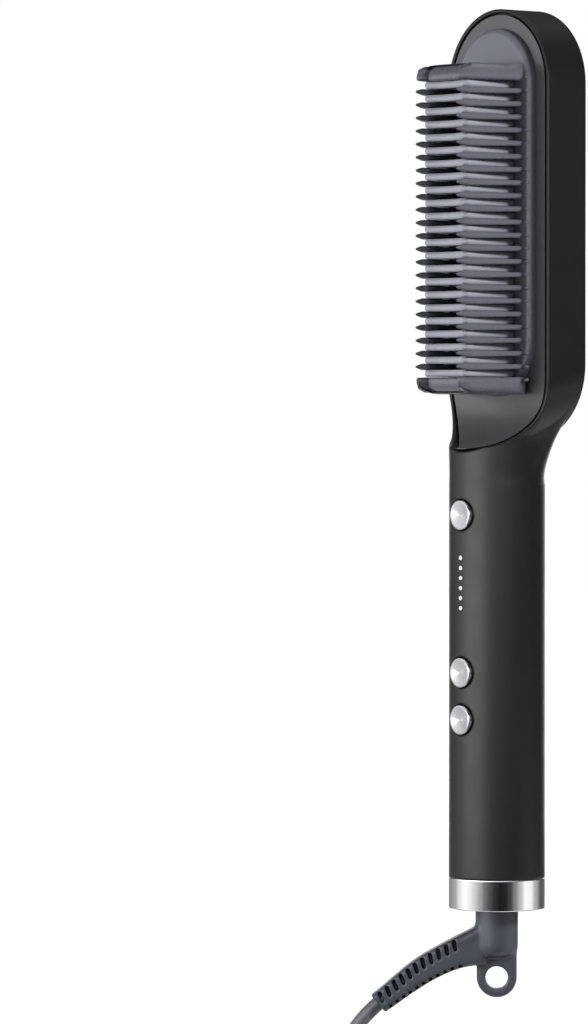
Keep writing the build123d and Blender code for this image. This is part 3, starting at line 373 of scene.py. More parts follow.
@dataclass(frozen=True)
class Finish:
    """One real material with the surface that its making gave it.

    Tones are sRGB. Patches are the slow drift of tone over a surface, grain is its fine relief and
    eased is the radius by which its edges look rounded, in mm.
    """

    name: str
    slot: str
    tone: str
    shade: str
    rough: float
    metal: float = 0.0
    patch: float = 9.0
    grain: float = 0.35
    depth: float = 0.004
    spread: float = 0.06
    specular: float = 0.5
    coat: float = 0.0
    coat_rough: float = 0.1
    clear: float = 0.0
    glow: float = 0.0
    eased: float = 0.0

    def material(self) -> bpy.types.Material:
        """Returns the material, and makes it the first time."""
        made = bpy.data.materials.get(self.name)
        if made:
            return made
        made = bpy.data.materials.new(self.name)
        made.use_nodes = True
        tree = made.node_tree
        shader = tree.nodes["Principled BSDF"]
        place = add_node(tree, "ShaderNodeTexCoord").outputs["Object"]
        tree.links.new(self.tint(tree, place), shader.inputs["Base Color"])
        bump = add_node(tree, "ShaderNodeBump", {"Strength": 1.0, "Distance": self.depth * MM},
                        {"Height": self.relief(tree, place)})
        if self.eased:
            edges = add_node(tree, "ShaderNodeBevel", {"samples": 8, "Radius": self.eased * MM})
            tree.links.new(edges.outputs["Normal"], bump.inputs["Normal"])
        tree.links.new(bump.outputs["Normal"], shader.inputs["Normal"])
        wear = add_node(tree, "ShaderNodeTexNoise", {"Scale": 1 / (0.6 * self.patch * MM), "Detail": 3.0},
                        {"Vector": place})
        rough = add_node(tree, "ShaderNodeMapRange", {3: self.rough - self.spread,
                                                      4: self.rough + self.spread},
                         {"Value": wear.outputs["Fac"]})
        tree.links.new(rough.outputs["Result"], shader.inputs["Roughness"])
        for socket, value in (("Metallic", self.metal), ("Specular IOR Level", self.specular),
                              ("Coat Weight", self.coat), ("Coat Roughness", self.coat_rough),
                              ("Transmission Weight", self.clear), ("Emission Strength", self.glow)):
            shader.inputs[socket].default_value = value
        if self.glow:
            shader.inputs["Emission Color"].default_value = colour(self.tone)
        return made

    def tint(self, tree: bpy.types.NodeTree, place: bpy.types.NodeSocket) -> bpy.types.NodeSocket:
        """Builds the colour: the tone, drifting to the shade in patches.

        Args:
            tree: The material's node tree.
            place: The socket of object coordinates.

        Returns:
            The socket that carries it.
        """
        drift = add_node(tree, "ShaderNodeTexNoise", {"Scale": 1 / (self.patch * MM), "Detail": 4.0},
                         {"Vector": place})
        mix = add_node(tree, "ShaderNodeMix", {"data_type": "RGBA", 6: colour(self.tone),
                                               7: colour(self.shade)}, {0: drift.outputs["Fac"]})
        return mix.outputs[2]

    def relief(self, tree: bpy.types.NodeTree, place: bpy.types.NodeSocket) -> bpy.types.NodeSocket:
        """Builds the fine relief: an even grain.

        Args:
            tree: The material's node tree.
            place: The socket of object coordinates.

        Returns:
            The socket that carries its height.
        """
        grain = add_node(tree, "ShaderNodeTexNoise", {"Scale": 1 / (self.grain * MM), "Detail": 2.0},
                         {"Vector": place})
        return grain.outputs["Fac"]


@dataclass(frozen=True)
class EdgeShadedLacquer(Finish):
    """A lacquer over metal flake, with painted shade at the edges of its band where they turn down."""

    # Painted shade: the colour that the band darkens to where it turns down at its edges
    edge: str = "#5a2a5a"
    face: float = 16.3
    shade_fall: float = 0.5
    flake: float = 0.5

    def tint(self, tree: bpy.types.NodeTree, place: bpy.types.NodeSocket) -> bpy.types.NodeSocket:
        """Builds the colour: flakes in the tone, with painted shade where the band falls away from its face.

        Args:
            tree: The material's node tree.
            place: The socket of object coordinates.

        Returns:
            The socket that carries it.
        """
        base = Finish.tint(self, tree, place)
        flakes = add_node(tree, "ShaderNodeTexVoronoi", {"Scale": 1 / (self.flake * MM)},
                          {"Vector": place})
        spark = add_node(tree, "ShaderNodeMapRange", {3: 0.92, 4: 1.1},
                         {"Value": flakes.outputs["Color"]})
        lit = add_node(tree, "ShaderNodeVectorMath", {"operation": "SCALE"},
                       {0: base, "Scale": spark.outputs["Result"]})
        parts = add_node(tree, "ShaderNodeSeparateXYZ", None, {0: place})
        shade_fall = add_node(tree, "ShaderNodeMapRange", {1: (self.face - self.shade_fall) * MM,
                                                     2: self.face * MM}, {"Value": parts.outputs["Y"]})
        mix = add_node(tree, "ShaderNodeMix", {"data_type": "RGBA", 6: colour(self.edge)},
                       {0: shade_fall.outputs["Result"], 7: lit.outputs[0]})
        return mix.outputs[2]


@dataclass(frozen=True)
class Spun(Finish):
    """Metal turned on a spindle: fine rings about an axis square to the comb side."""

    height: float = 0.0
    ring: float = 0.22

    def relief(self, tree: bpy.types.NodeTree, place: bpy.types.NodeSocket) -> bpy.types.NodeSocket:
        """Builds the relief: turned rings about the piece's own axis.

        Args:
            tree: The material's node tree.
            place: The socket of object coordinates.

        Returns:
            The socket that carries its height.
        """
        centred = add_node(tree, "ShaderNodeMapping", {"Location": (0, 0, -up(self.height) * MM)},
                           {"Vector": place})
        rings = add_node(tree, "ShaderNodeTexWave", {"wave_type": "RINGS", "rings_direction": "Y",
                                                     "Scale": WAVE_SPACING / (self.ring * MM),
                                                     "Distortion": 0.3},
                         {"Vector": centred.outputs["Vector"]})
        return rings.outputs["Fac"]


@dataclass(frozen=True)
class Tracked(Finish):
    """Glass laminate under green solder mask, with the tracks standing out beneath it."""

    track: float = 1.6

    def relief(self, tree: bpy.types.NodeTree, place: bpy.types.NodeSocket) -> bpy.types.NodeSocket:
        """Builds the relief: square-cornered tracks.

        Args:
            tree: The material's node tree.
            place: The socket of object coordinates.

        Returns:
            The socket that carries its height.
        """
        cells = add_node(tree, "ShaderNodeTexVoronoi", {"distance": "CHEBYCHEV",
                                                        "Scale": 1 / (self.track * MM)},
                         {"Vector": place})
        return cells.outputs["Distance"]


# Moulded ABS, satin: a black that shows a broad soft highlight down the handle
HANDLE_ABS = Finish("satin_moulded_abs", "handle_plastic", "#151516", "#19191a", 0.36, specular=0.35,
                    grain=0.25, depth=0.0015, eased=1.1)
# Painted ABS, satin: dark grey, well above the handle's black, so the panel stands out from its rim
PANEL_PAINT = Finish("satin_painted_abs", "panel_plastic", "#454548", "#49494c", 0.38, grain=0.2,
                     depth=0.0015, specular=0.6)
# Glass-filled nylon, moulded: a glossy slate grey, with soft light along each row's side
ROW_NYLON = Finish("glossy_glass_filled_nylon", "comb_plastic", "#62636d", "#5b5c66", 0.28,
                   specular=0.6, grain=0.3, depth=0.003)
# The same nylon, satin, and painted lighter than the rows for the light on its open face: a blue-grey
# platform that rounds off softly into the panel
PLATFORM_NYLON_PAINTED_LIGHTER = Finish("satin_glass_filled_nylon", "comb_plastic", "#6d6f7a", "#676974", 0.42,
                        grain=0.3, depth=0.003)
# Die-cast aluminium under a satin ceramic coat, which hides the metal: pale cool grey between the rows
FIN_COAT = Finish("ceramic_coated_die_cast_aluminium", "coated_aluminium", "#9fa1ab", "#9698a3", 0.4,
                  grain=0.25)
# Lacquered ABS band: magenta with fine flake, with painted shade where it turns down at both edges
RING_LACQUER = EdgeShadedLacquer("flake_lacquered_abs", "ring_lacquer", "#cf6fc6", "#c766be", 0.33,
                            metal=0.15, coat=0.4, grain=0.2, depth=0.001)
# Satin ABS plate: dark grey, flat, with a faint cloudiness
PLATE_ABS = Finish("satin_moulded_plate_abs", "plate_plastic", "#49494a", "#434344", 0.38, grain=0.25,
                   depth=0.0012)
# Chrome-plated ABS: a clean mirror that bands white and black round the handle's end
RING_CHROME = Finish("chrome_plated_abs", "bright_ring", "#ededf0", "#e7e7ea", 0.06, metal=1.0,
                     spread=0.02, grain=3.0, depth=0.002)
# Acetal, turned: dull dark grey, hardly seen in the swivel's gap
BUSH_ACETAL = Finish("turned_acetal", "bush_plastic", "#39393c", "#2f2f32", 0.5)
# Soft PVC, moulded: matt blue-grey, with a fine bloom
GUARD_PVC = Finish("moulded_soft_pvc", "guard_rubber", "#43474f", "#3d414a", 0.38, grain=0.4,
                   depth=0.006)
# PVC sheath, extruded: smooth grey with a soft line of light along it
SHEATH_PVC = Finish("extruded_pvc_sheath", "cord_sheath", "#66646c", "#605e66", 0.4, grain=0.6,
                    depth=0.006)
# Hook-and-loop nylon tape: matt black with a napped face
TIE_NYLON = Finish("napped_nylon_tape", "tie_wire", "#1b1b1d", "#29292c", 0.85, patch=2.0, grain=0.5,
                   depth=0.12, specular=0.2)
# PVC overmould of the plug: matt dark grey with a fine spark-eroded texture
PLUG_PVC = Finish("overmoulded_pvc", "plug_plastic", "#2c2c2f", "#343437", 0.5, grain=0.45, depth=0.03)
# Nickel-plated brass: warm white metal, drawn smooth
PIN_NICKEL = Finish("nickel_plated_brass", "pin_brass", "#cfc9bb", "#bfb8a8", 0.2, metal=1.0, grain=0.5,
                    depth=0.002)
# Clear polycarbonate, lit from behind: a small pale point
PIPE_CLEAR = Finish("lit_clear_polycarbonate", "light_pipe", "#e4e4e8", "#dcdce0", 0.25, clear=0.2,
                    glow=0.38, grain=0.5)
# Fired barium titanate: chalky grey-brown tile
TILE_CERAMIC = Finish("fired_barium_titanate", "tile_ceramic", "#9d958a", "#877f74", 0.7, grain=0.3,
                      depth=0.01)
# Rolled aluminium strip: soft bright metal
STRIP_ALUMINIUM = Finish("rolled_aluminium_strip", "contact_aluminium", "#d2d2d4", "#c2c2c5", 0.28,
                         metal=1.0, grain=0.8, depth=0.003)
# Polyimide film: amber and glossy
FILM_AMBER = Finish("cast_polyimide_film", "film", "#b4762b", "#9e6420", 0.2, grain=1.5, depth=0.01)
# Zinc-plated steel: grey metal with a faint spangle
CLAMP_ZINC = Finish("zinc_plated_sheet_steel", "clamp_steel", "#b4b5b6", "#9b9da0", 0.32, metal=1.0,
                    patch=3.0, grain=0.6)
SCREW_ZINC = Finish("zinc_plated_cold_headed_steel", "screw_steel", "#bdbcb6", "#a5a49e", 0.3, metal=1.0)
# Glass bead: clear and slightly yellow
BEAD_GLASS = Finish("dipped_glass_bead", "sensor_glass", "#d9cdb4", "#cbbd9f", 0.08, clear=0.5)
# Tinned can of the thermal fuse: pale brass
FUSE_CAN = Finish("tinned_drawn_brass", "fuse_metal", "#cbb98c", "#b8a678", 0.27, metal=1.0)
# Glass laminate: green mask over raised tracks
BOARD_GREEN = Tracked("masked_glass_laminate", "board_laminate", "#1f5a33", "#174a29", 0.35, grain=0.6,
                      depth=0.04)
# Natural nylon tray: ivory and waxy
TRAY_NYLON = Finish("moulded_natural_nylon", "tray_plastic", "#d8d3c6", "#ccc6b7", 0.45)
SWITCH_RESIN = Finish("moulded_switch_resin", "switch_plastic", "#242426", "#1c1c1e", 0.45)
LED_EPOXY = Finish("cast_led_epoxy", "led_resin", "#e9e4bd", "#ded8ac", 0.2, clear=0.2)
CAPACITOR_CASE = Finish("dipped_capacitor_resin", "capacitor_case", "#b07a24", "#9c6a1b", 0.4)
RELAY_CASE = Finish("moulded_relay_case", "relay_case", "#20263a", "#1a2033", 0.4)
CHIP_EPOXY = Finish("moulded_chip_epoxy", "chip_resin", "#1c1c1d", "#242425", 0.6, depth=0.01)
# Silicone sleeve: matt red with a slight drag
LEAD_SILICONE = Finish("extruded_silicone_sleeve", "lead_sleeve", "#a8221c", "#951c17", 0.55)
CONTACT_BRASS = Finish("drawn_spring_brass", "contact_brass", "#d7b571", "#c2a05d", 0.25, metal=1.0)


def spun(name: str, height: float) -> Spun:
    """Spun aluminium of a button: silver grey, with rings that throw a bow-tie of light.

    Args:
        name: Which button.
        height: The button's height above the handle's end.

    Returns:
        The finish.
    """
    return Spun(f"spun_aluminium_{name}", "button_metal", "#b4b4b8", "#a4a4a8", 0.17, metal=1.0,
                depth=0.014, height=height)


# ---------------------------------------------------------------- head


@dataclass(frozen=True)
class Row:
    """One row of the comb: its middle height, half thickness, edge round, and its own form.

    A walled row is filled between its teeth and closes the comb's end: it faces outwards, up (1) or
    down (-1), with a broad round.
    """

    middle: float
    half: float
    edge: float
    faces: int = 0

    @property
    def walled(self) -> bool:
        """Whether the row is one of the two at the comb's ends."""
        return self.faces != 0


@dataclass
class Comb:
    """The plastic comb: a platform with a window, and a ladder of tooth rows across it.

    The swell and the foot's round are given by where they start and how far they run, and the nose's
    round by where it ends, how far it runs and its least share.
    """

    rows: int = 24
    first: float = 157.64
    pitch: float = 3.905
    half: float = 0.8
    edge: float = 0.6
    swell: float = 0.2
    end_extra: float = 3.5
    end_edge: float = 3.4
    foot: Point = (14.4, -1.1)
    shoulder: Point = (11.0, -20.2)
    tip: Point = (9.4, -24.8)
    inner: Point = (7.6, -20.2)
    tip_half: float = 0.25
    bar_low: Point = (6.6, -8.0)
    bar_top: Point = (4.6, -6.0)
    wall_top: Point = (7.0, -21.2)
    platform_radius: float = 16.9
    platform_low: float = 152.7
    platform_top: float = 245.955
    platform_front: float = 2.1
    platform_back: float = -0.4
    platform_edge: float = 1.8
    window: float = 10.3
    mesh_step: float = 1.6
    wall_taper: float = 3.2
    tooth_taper: float = -1.0
    taper_power: float = 1.2
    nose: float = 0.97
    swell_start: Point = (9.6, 6.0)
    swell_run: Point = (0.8, 8.0)
    near_round: Point = (0.3, 0.4)
    foot_round: Point = (2.2, 3.0)
    nose_round: tuple[float, float, float] = (-25.5, 5.5, 0.25)
    edge_limit: float = 1.4
    end_shift: float = 0.8
    rib_x: float = 15.4
    rib: tuple[float, float, float] = (0.95, 0.75, 0.6)

    def height(self, row: int) -> float:
        """Height of a row's middle above the handle's end."""
        return self.first + row * self.pitch

    def outline(self, walled: bool) -> Loop:
        """A row seen along the handle, with rounded corners.

        Args:
            walled: Whether the space between its teeth is filled, as in an end row.

        Returns:
            The outline in x and y, anticlockwise.
        """
        right = [self.foot, self.shoulder, self.tip, self.inner]
        radii = [0.4, 4.0, 1.6 if walled else 0.5, 2.2]
        right += [self.wall_top] if walled else [self.bar_low, self.bar_top]
        radii += [0.6] if walled else [2.0, 1.2]
        corners = right + [(-x, y) for x, y in reversed(right)]
        return self.divide(rounded(list(reversed(corners)), radii + list(reversed(radii)), 4))

    def divide(self, outline: Loop) -> Loop:
        """Adds points along an outline's long runs, so that its thickness can change along them.

        Args:
            outline: The outline.

        Returns:
            The same outline with more points.
        """
        divided: Loop = []
        for i, (x, y) in enumerate(outline):
            far = outline[(i + 1) % len(outline)]
            steps = max(1, round(hypot(far[0] - x, far[1] - y) / self.mesh_step))
            divided += [(x + (far[0] - x) * s / steps, y + (far[1] - y) * s / steps) for s in range(steps)]
        return divided

    def thickness(self, x: float, y: float, row: Row) -> float:
        """Half of a row's thickness at a place: a slight swell to the shoulder, then a point.

        Args:
            x: Place across the comb.
            y: Depth.
            row: The row.

        Returns:
            Half of the thickness there, in mm.
        """
        start = self.shoulder[1] + (self.wall_taper if row.walled else self.tooth_taper)
        share = ramp(y, start, self.tip[1] - start)
        if row.walled:
            return row.half * sqrt(1 - (self.nose * share) ** 2)
        side = (ramp(abs(x), self.swell_start[0], self.swell_run[0])
                * ramp(-y, self.swell_start[1], self.swell_run[1]))
        full = row.half + self.swell * side
        return self.tip_half + (full - self.tip_half) * (1 - share ** self.taper_power)

    def section(self, row: Row) -> list[Point]:
        """A row's rounded section, from its one flat side to the other.

        Args:
            row: The row.

        Returns:
            Pairs of a share of its edge that it stands in, and a share of its half thickness.
        """
        if not row.walled:
            turns = [i / 4 * pi / 2 for i in range(-4, 5)]
            return [(1 - cos(turn), sin(turn)) for turn in turns]
        pull, rise = self.near_round
        near = [(pull * (1 - sin(t)), rise - 1 - rise * cos(t)) for t in [i / 3 * pi / 2 for i in range(4)]]
        broad = [(1 - cos(t), rise - 1 + (2 - rise) * sin(t)) for t in [i / 8 * pi / 2 for i in range(1, 9)]]
        return near + broad

    def row(self, draft: Draft, row: Row) -> None:
        """Adds one row, its edges rounded and its teeth pointed.

        Args:
            draft: The mesh that it joins.
            row: The row.
        """
        outline = self.outline(row.walled)
        narrow = inset(outline, 1.0)
        tip, run, least = self.nose_round
        loops = []
        for pull, rise in self.section(row):
            moved = []
            for (x, y), (nx, ny) in zip(outline, narrow):
                here = self.thickness(x, y, row)
                free = ramp(-y, *self.foot_round) * max(least, ramp(y, tip, run))
                share = min(row.edge * (free if row.walled else 1.0), self.edge_limit * here) * pull
                level = row.middle - self.end_shift * row.faces * (row.half - here)
                moved.append(PLAN.at(x + (nx - x) * share, y + (ny - y) * share,
                                     up(level) + here * rise * (row.faces or 1)))
            loops.append(moved)
        draft.skin(loops, plan=outline)

    def platform(self) -> None:
        """Builds the platform, with its soft rim and the window for the fins."""
        low = self.height(0) + self.half
        high = self.height(self.rows - 1) - self.half
        outer = stadium(self.platform_radius, up(self.platform_low + self.platform_radius),
                        up(self.platform_top), 48)
        window = [(max(-self.window, min(self.window, x)), max(up(low), min(up(high), y)))
                  for x, y in outer]
        loops = [FRONT.ring(outer, self.platform_back)]
        for i in range(9):
            turn = i / 8 * pi / 2
            loops.append(FRONT.ring(inset(outer, self.platform_edge * (1 - cos(turn))),
                                    self.platform_front - self.platform_edge * (1 - sin(turn))))
        loops += [FRONT.ring(window, self.platform_front), FRONT.ring(window, self.platform_back)]
        draft = Draft()
        draft.skin(loops, wrap=True)
        self.ribs(draft)
        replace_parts(draft.build("comb_platform", PLATFORM_NYLON_PAINTED_LIGHTER, "brush", 38.0), "comb_frame")

    def ribs(self, draft: Draft) -> None:
        """Adds the small rib at each row's foot, on the platform's rim.

        Args:
            draft: The mesh that they join.
        """
        for row in range(self.rows):
            for side in (-1, 1):
                centre = FRONT.at(side * self.rib_x, up(self.height(row)), self.platform_front - 0.15)
                draft.dome(centre, [size * MM for size in self.rib])

    def build(self) -> None:
        """Builds the comb in place of its plain solid."""
        draft = Draft()
        for i in range(1, self.rows - 1):
            self.row(draft, Row(self.height(i), self.half, self.edge))
        half = self.half + self.end_extra / 2
        last = self.height(self.rows - 1)
        self.row(draft, Row(self.first - self.end_extra / 2, half, self.end_edge, -1))
        self.row(draft, Row(last + self.end_extra / 2, half, self.end_edge, 1))
        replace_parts(draft.build("comb_rows", ROW_NYLON, "brush", 38.0), "comb_frame")
        self.platform()


@dataclass
class Heater:
    """The die-cast heater: a base plate with one fin between each two rows."""

    comb: Comb
    half_width: float = 9.8
    thickness: float = 2.12
    lift: float = 0.0
    top: float = -21.2
    dip: float = 2.0
    corner: float = 2.0
    base_front: float = 0.2
    base_back: float = 2.2
    edge: float = 0.7
    end_gap: float = 0.15
    plate_corner: float = 0.6

    def outline(self) -> Loop:
        """A fin seen along the handle: round corners and a shallow dip, anticlockwise."""
        centre = self.top + self.corner
        inner = self.half_width - self.corner
        crest: Loop = [(-self.half_width, self.base_front)]
        crest += [(-self.half_width, centre + (self.base_front - centre) * (1 - s / 8))
                  for s in range(1, 8)]
        crest += [(-inner - self.corner * cos(a / 8 * pi / 2), centre - self.corner * sin(a / 8 * pi / 2))
                  for a in range(9)]
        crest += [(x, self.top + self.dip * (1 - (x / inner) ** 2))
                  for x in [inner * s / 6 for s in range(-5, 1)]]
        return crest + [(-x, y) for x, y in reversed(crest) if x < 0]

    def build(self) -> None:
        """Builds the heater in place of its plain solid."""
        draft = Draft()
        for gap in range(self.comb.rows - 1):
            middle = up(self.comb.height(gap) + self.comb.pitch / 2 + self.lift)
            draft.skin([PLAN.ring(loop, middle + depth)
                        for loop, depth in pillow(self.outline(), self.thickness / 2, self.edge)])
        low = up(self.comb.height(0) + self.comb.half + self.end_gap)
        high = up(self.comb.height(self.comb.rows - 1) - self.comb.half - self.end_gap)
        plate = rounded([(-self.half_width, low), (self.half_width, low), (self.half_width, high),
                         (-self.half_width, high)], [self.plate_corner] * 4)
        draft.skin([FRONT.ring(plate, -self.base_back), FRONT.ring(plate, -self.base_front)])
        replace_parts(draft.build("fins", FIN_COAT, "brush"), "heating_fins")


@dataclass
class BackTrim:
    """The lacquered ring round the head's back, with its face crowned and both edges turned down."""

    radius: float = 21.55
    width: float = 3.8
    low: float = 163.0
    top: float = 245.955
    floor: float = 14.1
    face: float = 16.3
    edge: float = 0.75
    crown: float = 0.06

    def section(self) -> list[Point]:
        """The ring's section, as distances in from its outer edge and depths, outer side first."""
        turns = [i / 5 * pi / 2 for i in range(6)]
        outer = [(self.edge * (1 - cos(t)), self.face - self.edge * (1 - sin(t))) for t in turns]
        inner = [(self.width - x, y) for x, y in reversed(outer)]
        middle = [(self.width / 2, self.face + self.crown)]
        return [(0.0, self.floor)] + outer + middle + inner + [(self.width, self.floor)]

    def build(self) -> None:
        """Builds the ring in place of its plain solid."""
        draft = Draft()
        draft.skin([BACK.ring(stadium(self.radius - x, up(self.low), up(self.top), 72), depth)
                    for x, depth in self.section()], wrap=True)
        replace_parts(draft.build("trim_ring", RING_LACQUER, "brush", 50.0), "back_ring")


# ---------------------------------------------------------------- handle


class Key(Enum):
    """The push buttons, each with its own moving body."""

    POWER = "power"
    PLUS = "plus"
    MINUS = "minus"


@dataclass
class Controls:
    """The three spun buttons on the handle's comb side."""

    minus: float = 56.1
    spacing: float = 14.1
    power: float = 117.3
    handle: float = 14.4
    radius: float = 4.5
    proud: float = 0.5
    lip: float = 0.75
    dish: float = 0.25
    flange: Point = (5.4, 1.0)
    flange_front: float = 10.86
    stem: float = 1.6
    tip: float = 7.4
    corner: float = 0.35

    def height(self, key: Key) -> float:
        """Height of a button's middle above the handle's end."""
        return {Key.POWER: self.power, Key.PLUS: self.minus + self.spacing, Key.MINUS: self.minus}[key]

    def profile(self) -> list[Point]:
        """The button's half section, as radii and depths, from its stem to its dished face."""
        face = self.handle + self.proud
        back = self.flange_front - self.flange[1]
        section = [(NEAR_AXIS, self.tip), (self.stem - 0.2, self.tip), (self.stem, self.tip + 0.2),
                   (self.stem, back), (self.flange[0], back), (self.flange[0], self.flange_front),
                   (self.radius, self.flange_front), (self.radius, face - self.corner)]
        section += [(self.radius - self.corner * (1 - cos(i / 5 * pi / 2)),
                     face - self.corner * (1 - sin(i / 5 * pi / 2))) for i in range(1, 6)]
        bowl = self.radius - self.lip
        section += [(bowl * (1 - i / 8), face - self.dish * sin(i / 8 * pi / 2)) for i in range(8)]
        return section + [(NEAR_AXIS, face - self.dish)]

    def build(self) -> None:
        """Builds each button in place of its plain solid."""
        for key in Key:
            height = self.height(key)
            draft = Draft()
            draft.turn(self.profile(), FRONT, (0.0, up(height)), 64)
            button = draft.build(f"{key.value}_cap", spun(key.value, height), f"{key.value}_key", 32.0)
            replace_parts(button, f"{key.value}_button")


@dataclass
class EndRing:
    """The bright ring round the handle's end."""

    radius: float = 14.4
    low: float = -0.9
    height: float = 8.4
    floor: float = 2.0
    round_low: float = 0.3
    round_high: float = 0.2
    hold: float = 0.15
    hole: float = 6.7
    bore: float = 10.6
    spigot: float = 12.3
    spigot_top: float = 12.4

    def profile(self) -> list[Point]:
        """The ring's half section, as radii and heights, round once."""
        low = [(self.radius - self.round_low * (1 - cos(t)), self.low + self.round_low * (1 - sin(t)))
               for t in [i / 8 * pi / 2 for i in range(9)]]
        high = [(self.radius - self.round_high * (1 - sin(t)), self.height - self.round_high * (1 - cos(t)))
                for t in [i / 4 * pi / 2 for i in range(5)]]
        wall = [(self.radius, self.height - self.round_high - self.hold),
                (self.radius, self.low + self.round_low + self.hold)]
        return ([(self.hole, self.floor), (self.bore, self.floor), (self.bore, self.spigot_top),
                 (self.spigot, self.spigot_top), (self.spigot, self.height)]
                + high + wall + low + [(self.hole, self.low)])

    def build(self) -> None:
        """Builds the ring in place of its plain solid."""
        draft = Draft()
        draft.turn([(radius, up(height)) for radius, height in self.profile()], PLAN, (0.0, 0.0), 160,
                   closed=True)
        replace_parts(draft.build("chrome_ring", RING_CHROME, "brush", 40.0), "end_ring")


@dataclass
class Guard:
    """The soft cord guard: its edges run into each other, most of all where the arm joins."""

    voxel: float = 0.28
    passes: int = 6
    joint_passes: int = 40
    slotted: float = -11.6
    loop_top: float = -17.2
    joint_top: float = -4.0
    share: float = 0.5

    def build(self) -> None:
        """Builds the guard in place of its plain solid, whose form it rounds."""
        source = bpy.data.objects["cord_guard"]
        guard = bpy.data.objects.new("moulded_guard", source.data.copy())
        guard.matrix_world = source.matrix_world.copy()
        bpy.context.scene.collection.objects.link(guard)
        grid = guard.modifiers.new("even_skin", "REMESH")
        grid.mode = "VOXEL"
        grid.voxel_size = self.voxel * MM
        grid.use_smooth_shade = True
        depsgraph = bpy.context.evaluated_depsgraph_get()
        guard.data = bpy.data.meshes.new_from_object(guard.evaluated_get(depsgraph), depsgraph=depsgraph)
        guard.modifiers.clear()
        self.soften(guard.data)
        smooth(guard, 60.0)
        dress(guard, GUARD_PVC)
        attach(guard, "swivel")
        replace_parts(guard, "cord_guard")
        LOG.info("moulded_guard: %d faces", len(guard.data.polygons))

    def soften(self, mesh: bpy.types.Mesh) -> None:
        """Lets the mesh relax: a little everywhere, and more where the arm meets the knuckle.

        Args:
            mesh: The guard's mesh.
        """
        work = bmesh.new()
        work.from_mesh(mesh)
        right = Vector(CORD.right)
        joint = [vert for vert in work.verts if vert.co.dot(right) > self.slotted * MM
                 and self.loop_top * MM < vert.co.z + GRIP_HEIGHT * MM < self.joint_top * MM]
        for verts, passes in ((work.verts, self.passes), (joint, self.joint_passes)):
            for _ in range(passes):
                bmesh.ops.smooth_vert(work, verts=verts, factor=self.share, use_axis_x=True,
                                      use_axis_y=True, use_axis_z=True)
        work.to_mesh(mesh)
        work.free()


# ---------------------------------------------------------------- mains lead


@dataclass(frozen=True)
class Turn:
    """One turn of the hank: its folds' radius, half its waist and how far out it lies."""

    fold: float
    waist: float
    out: float


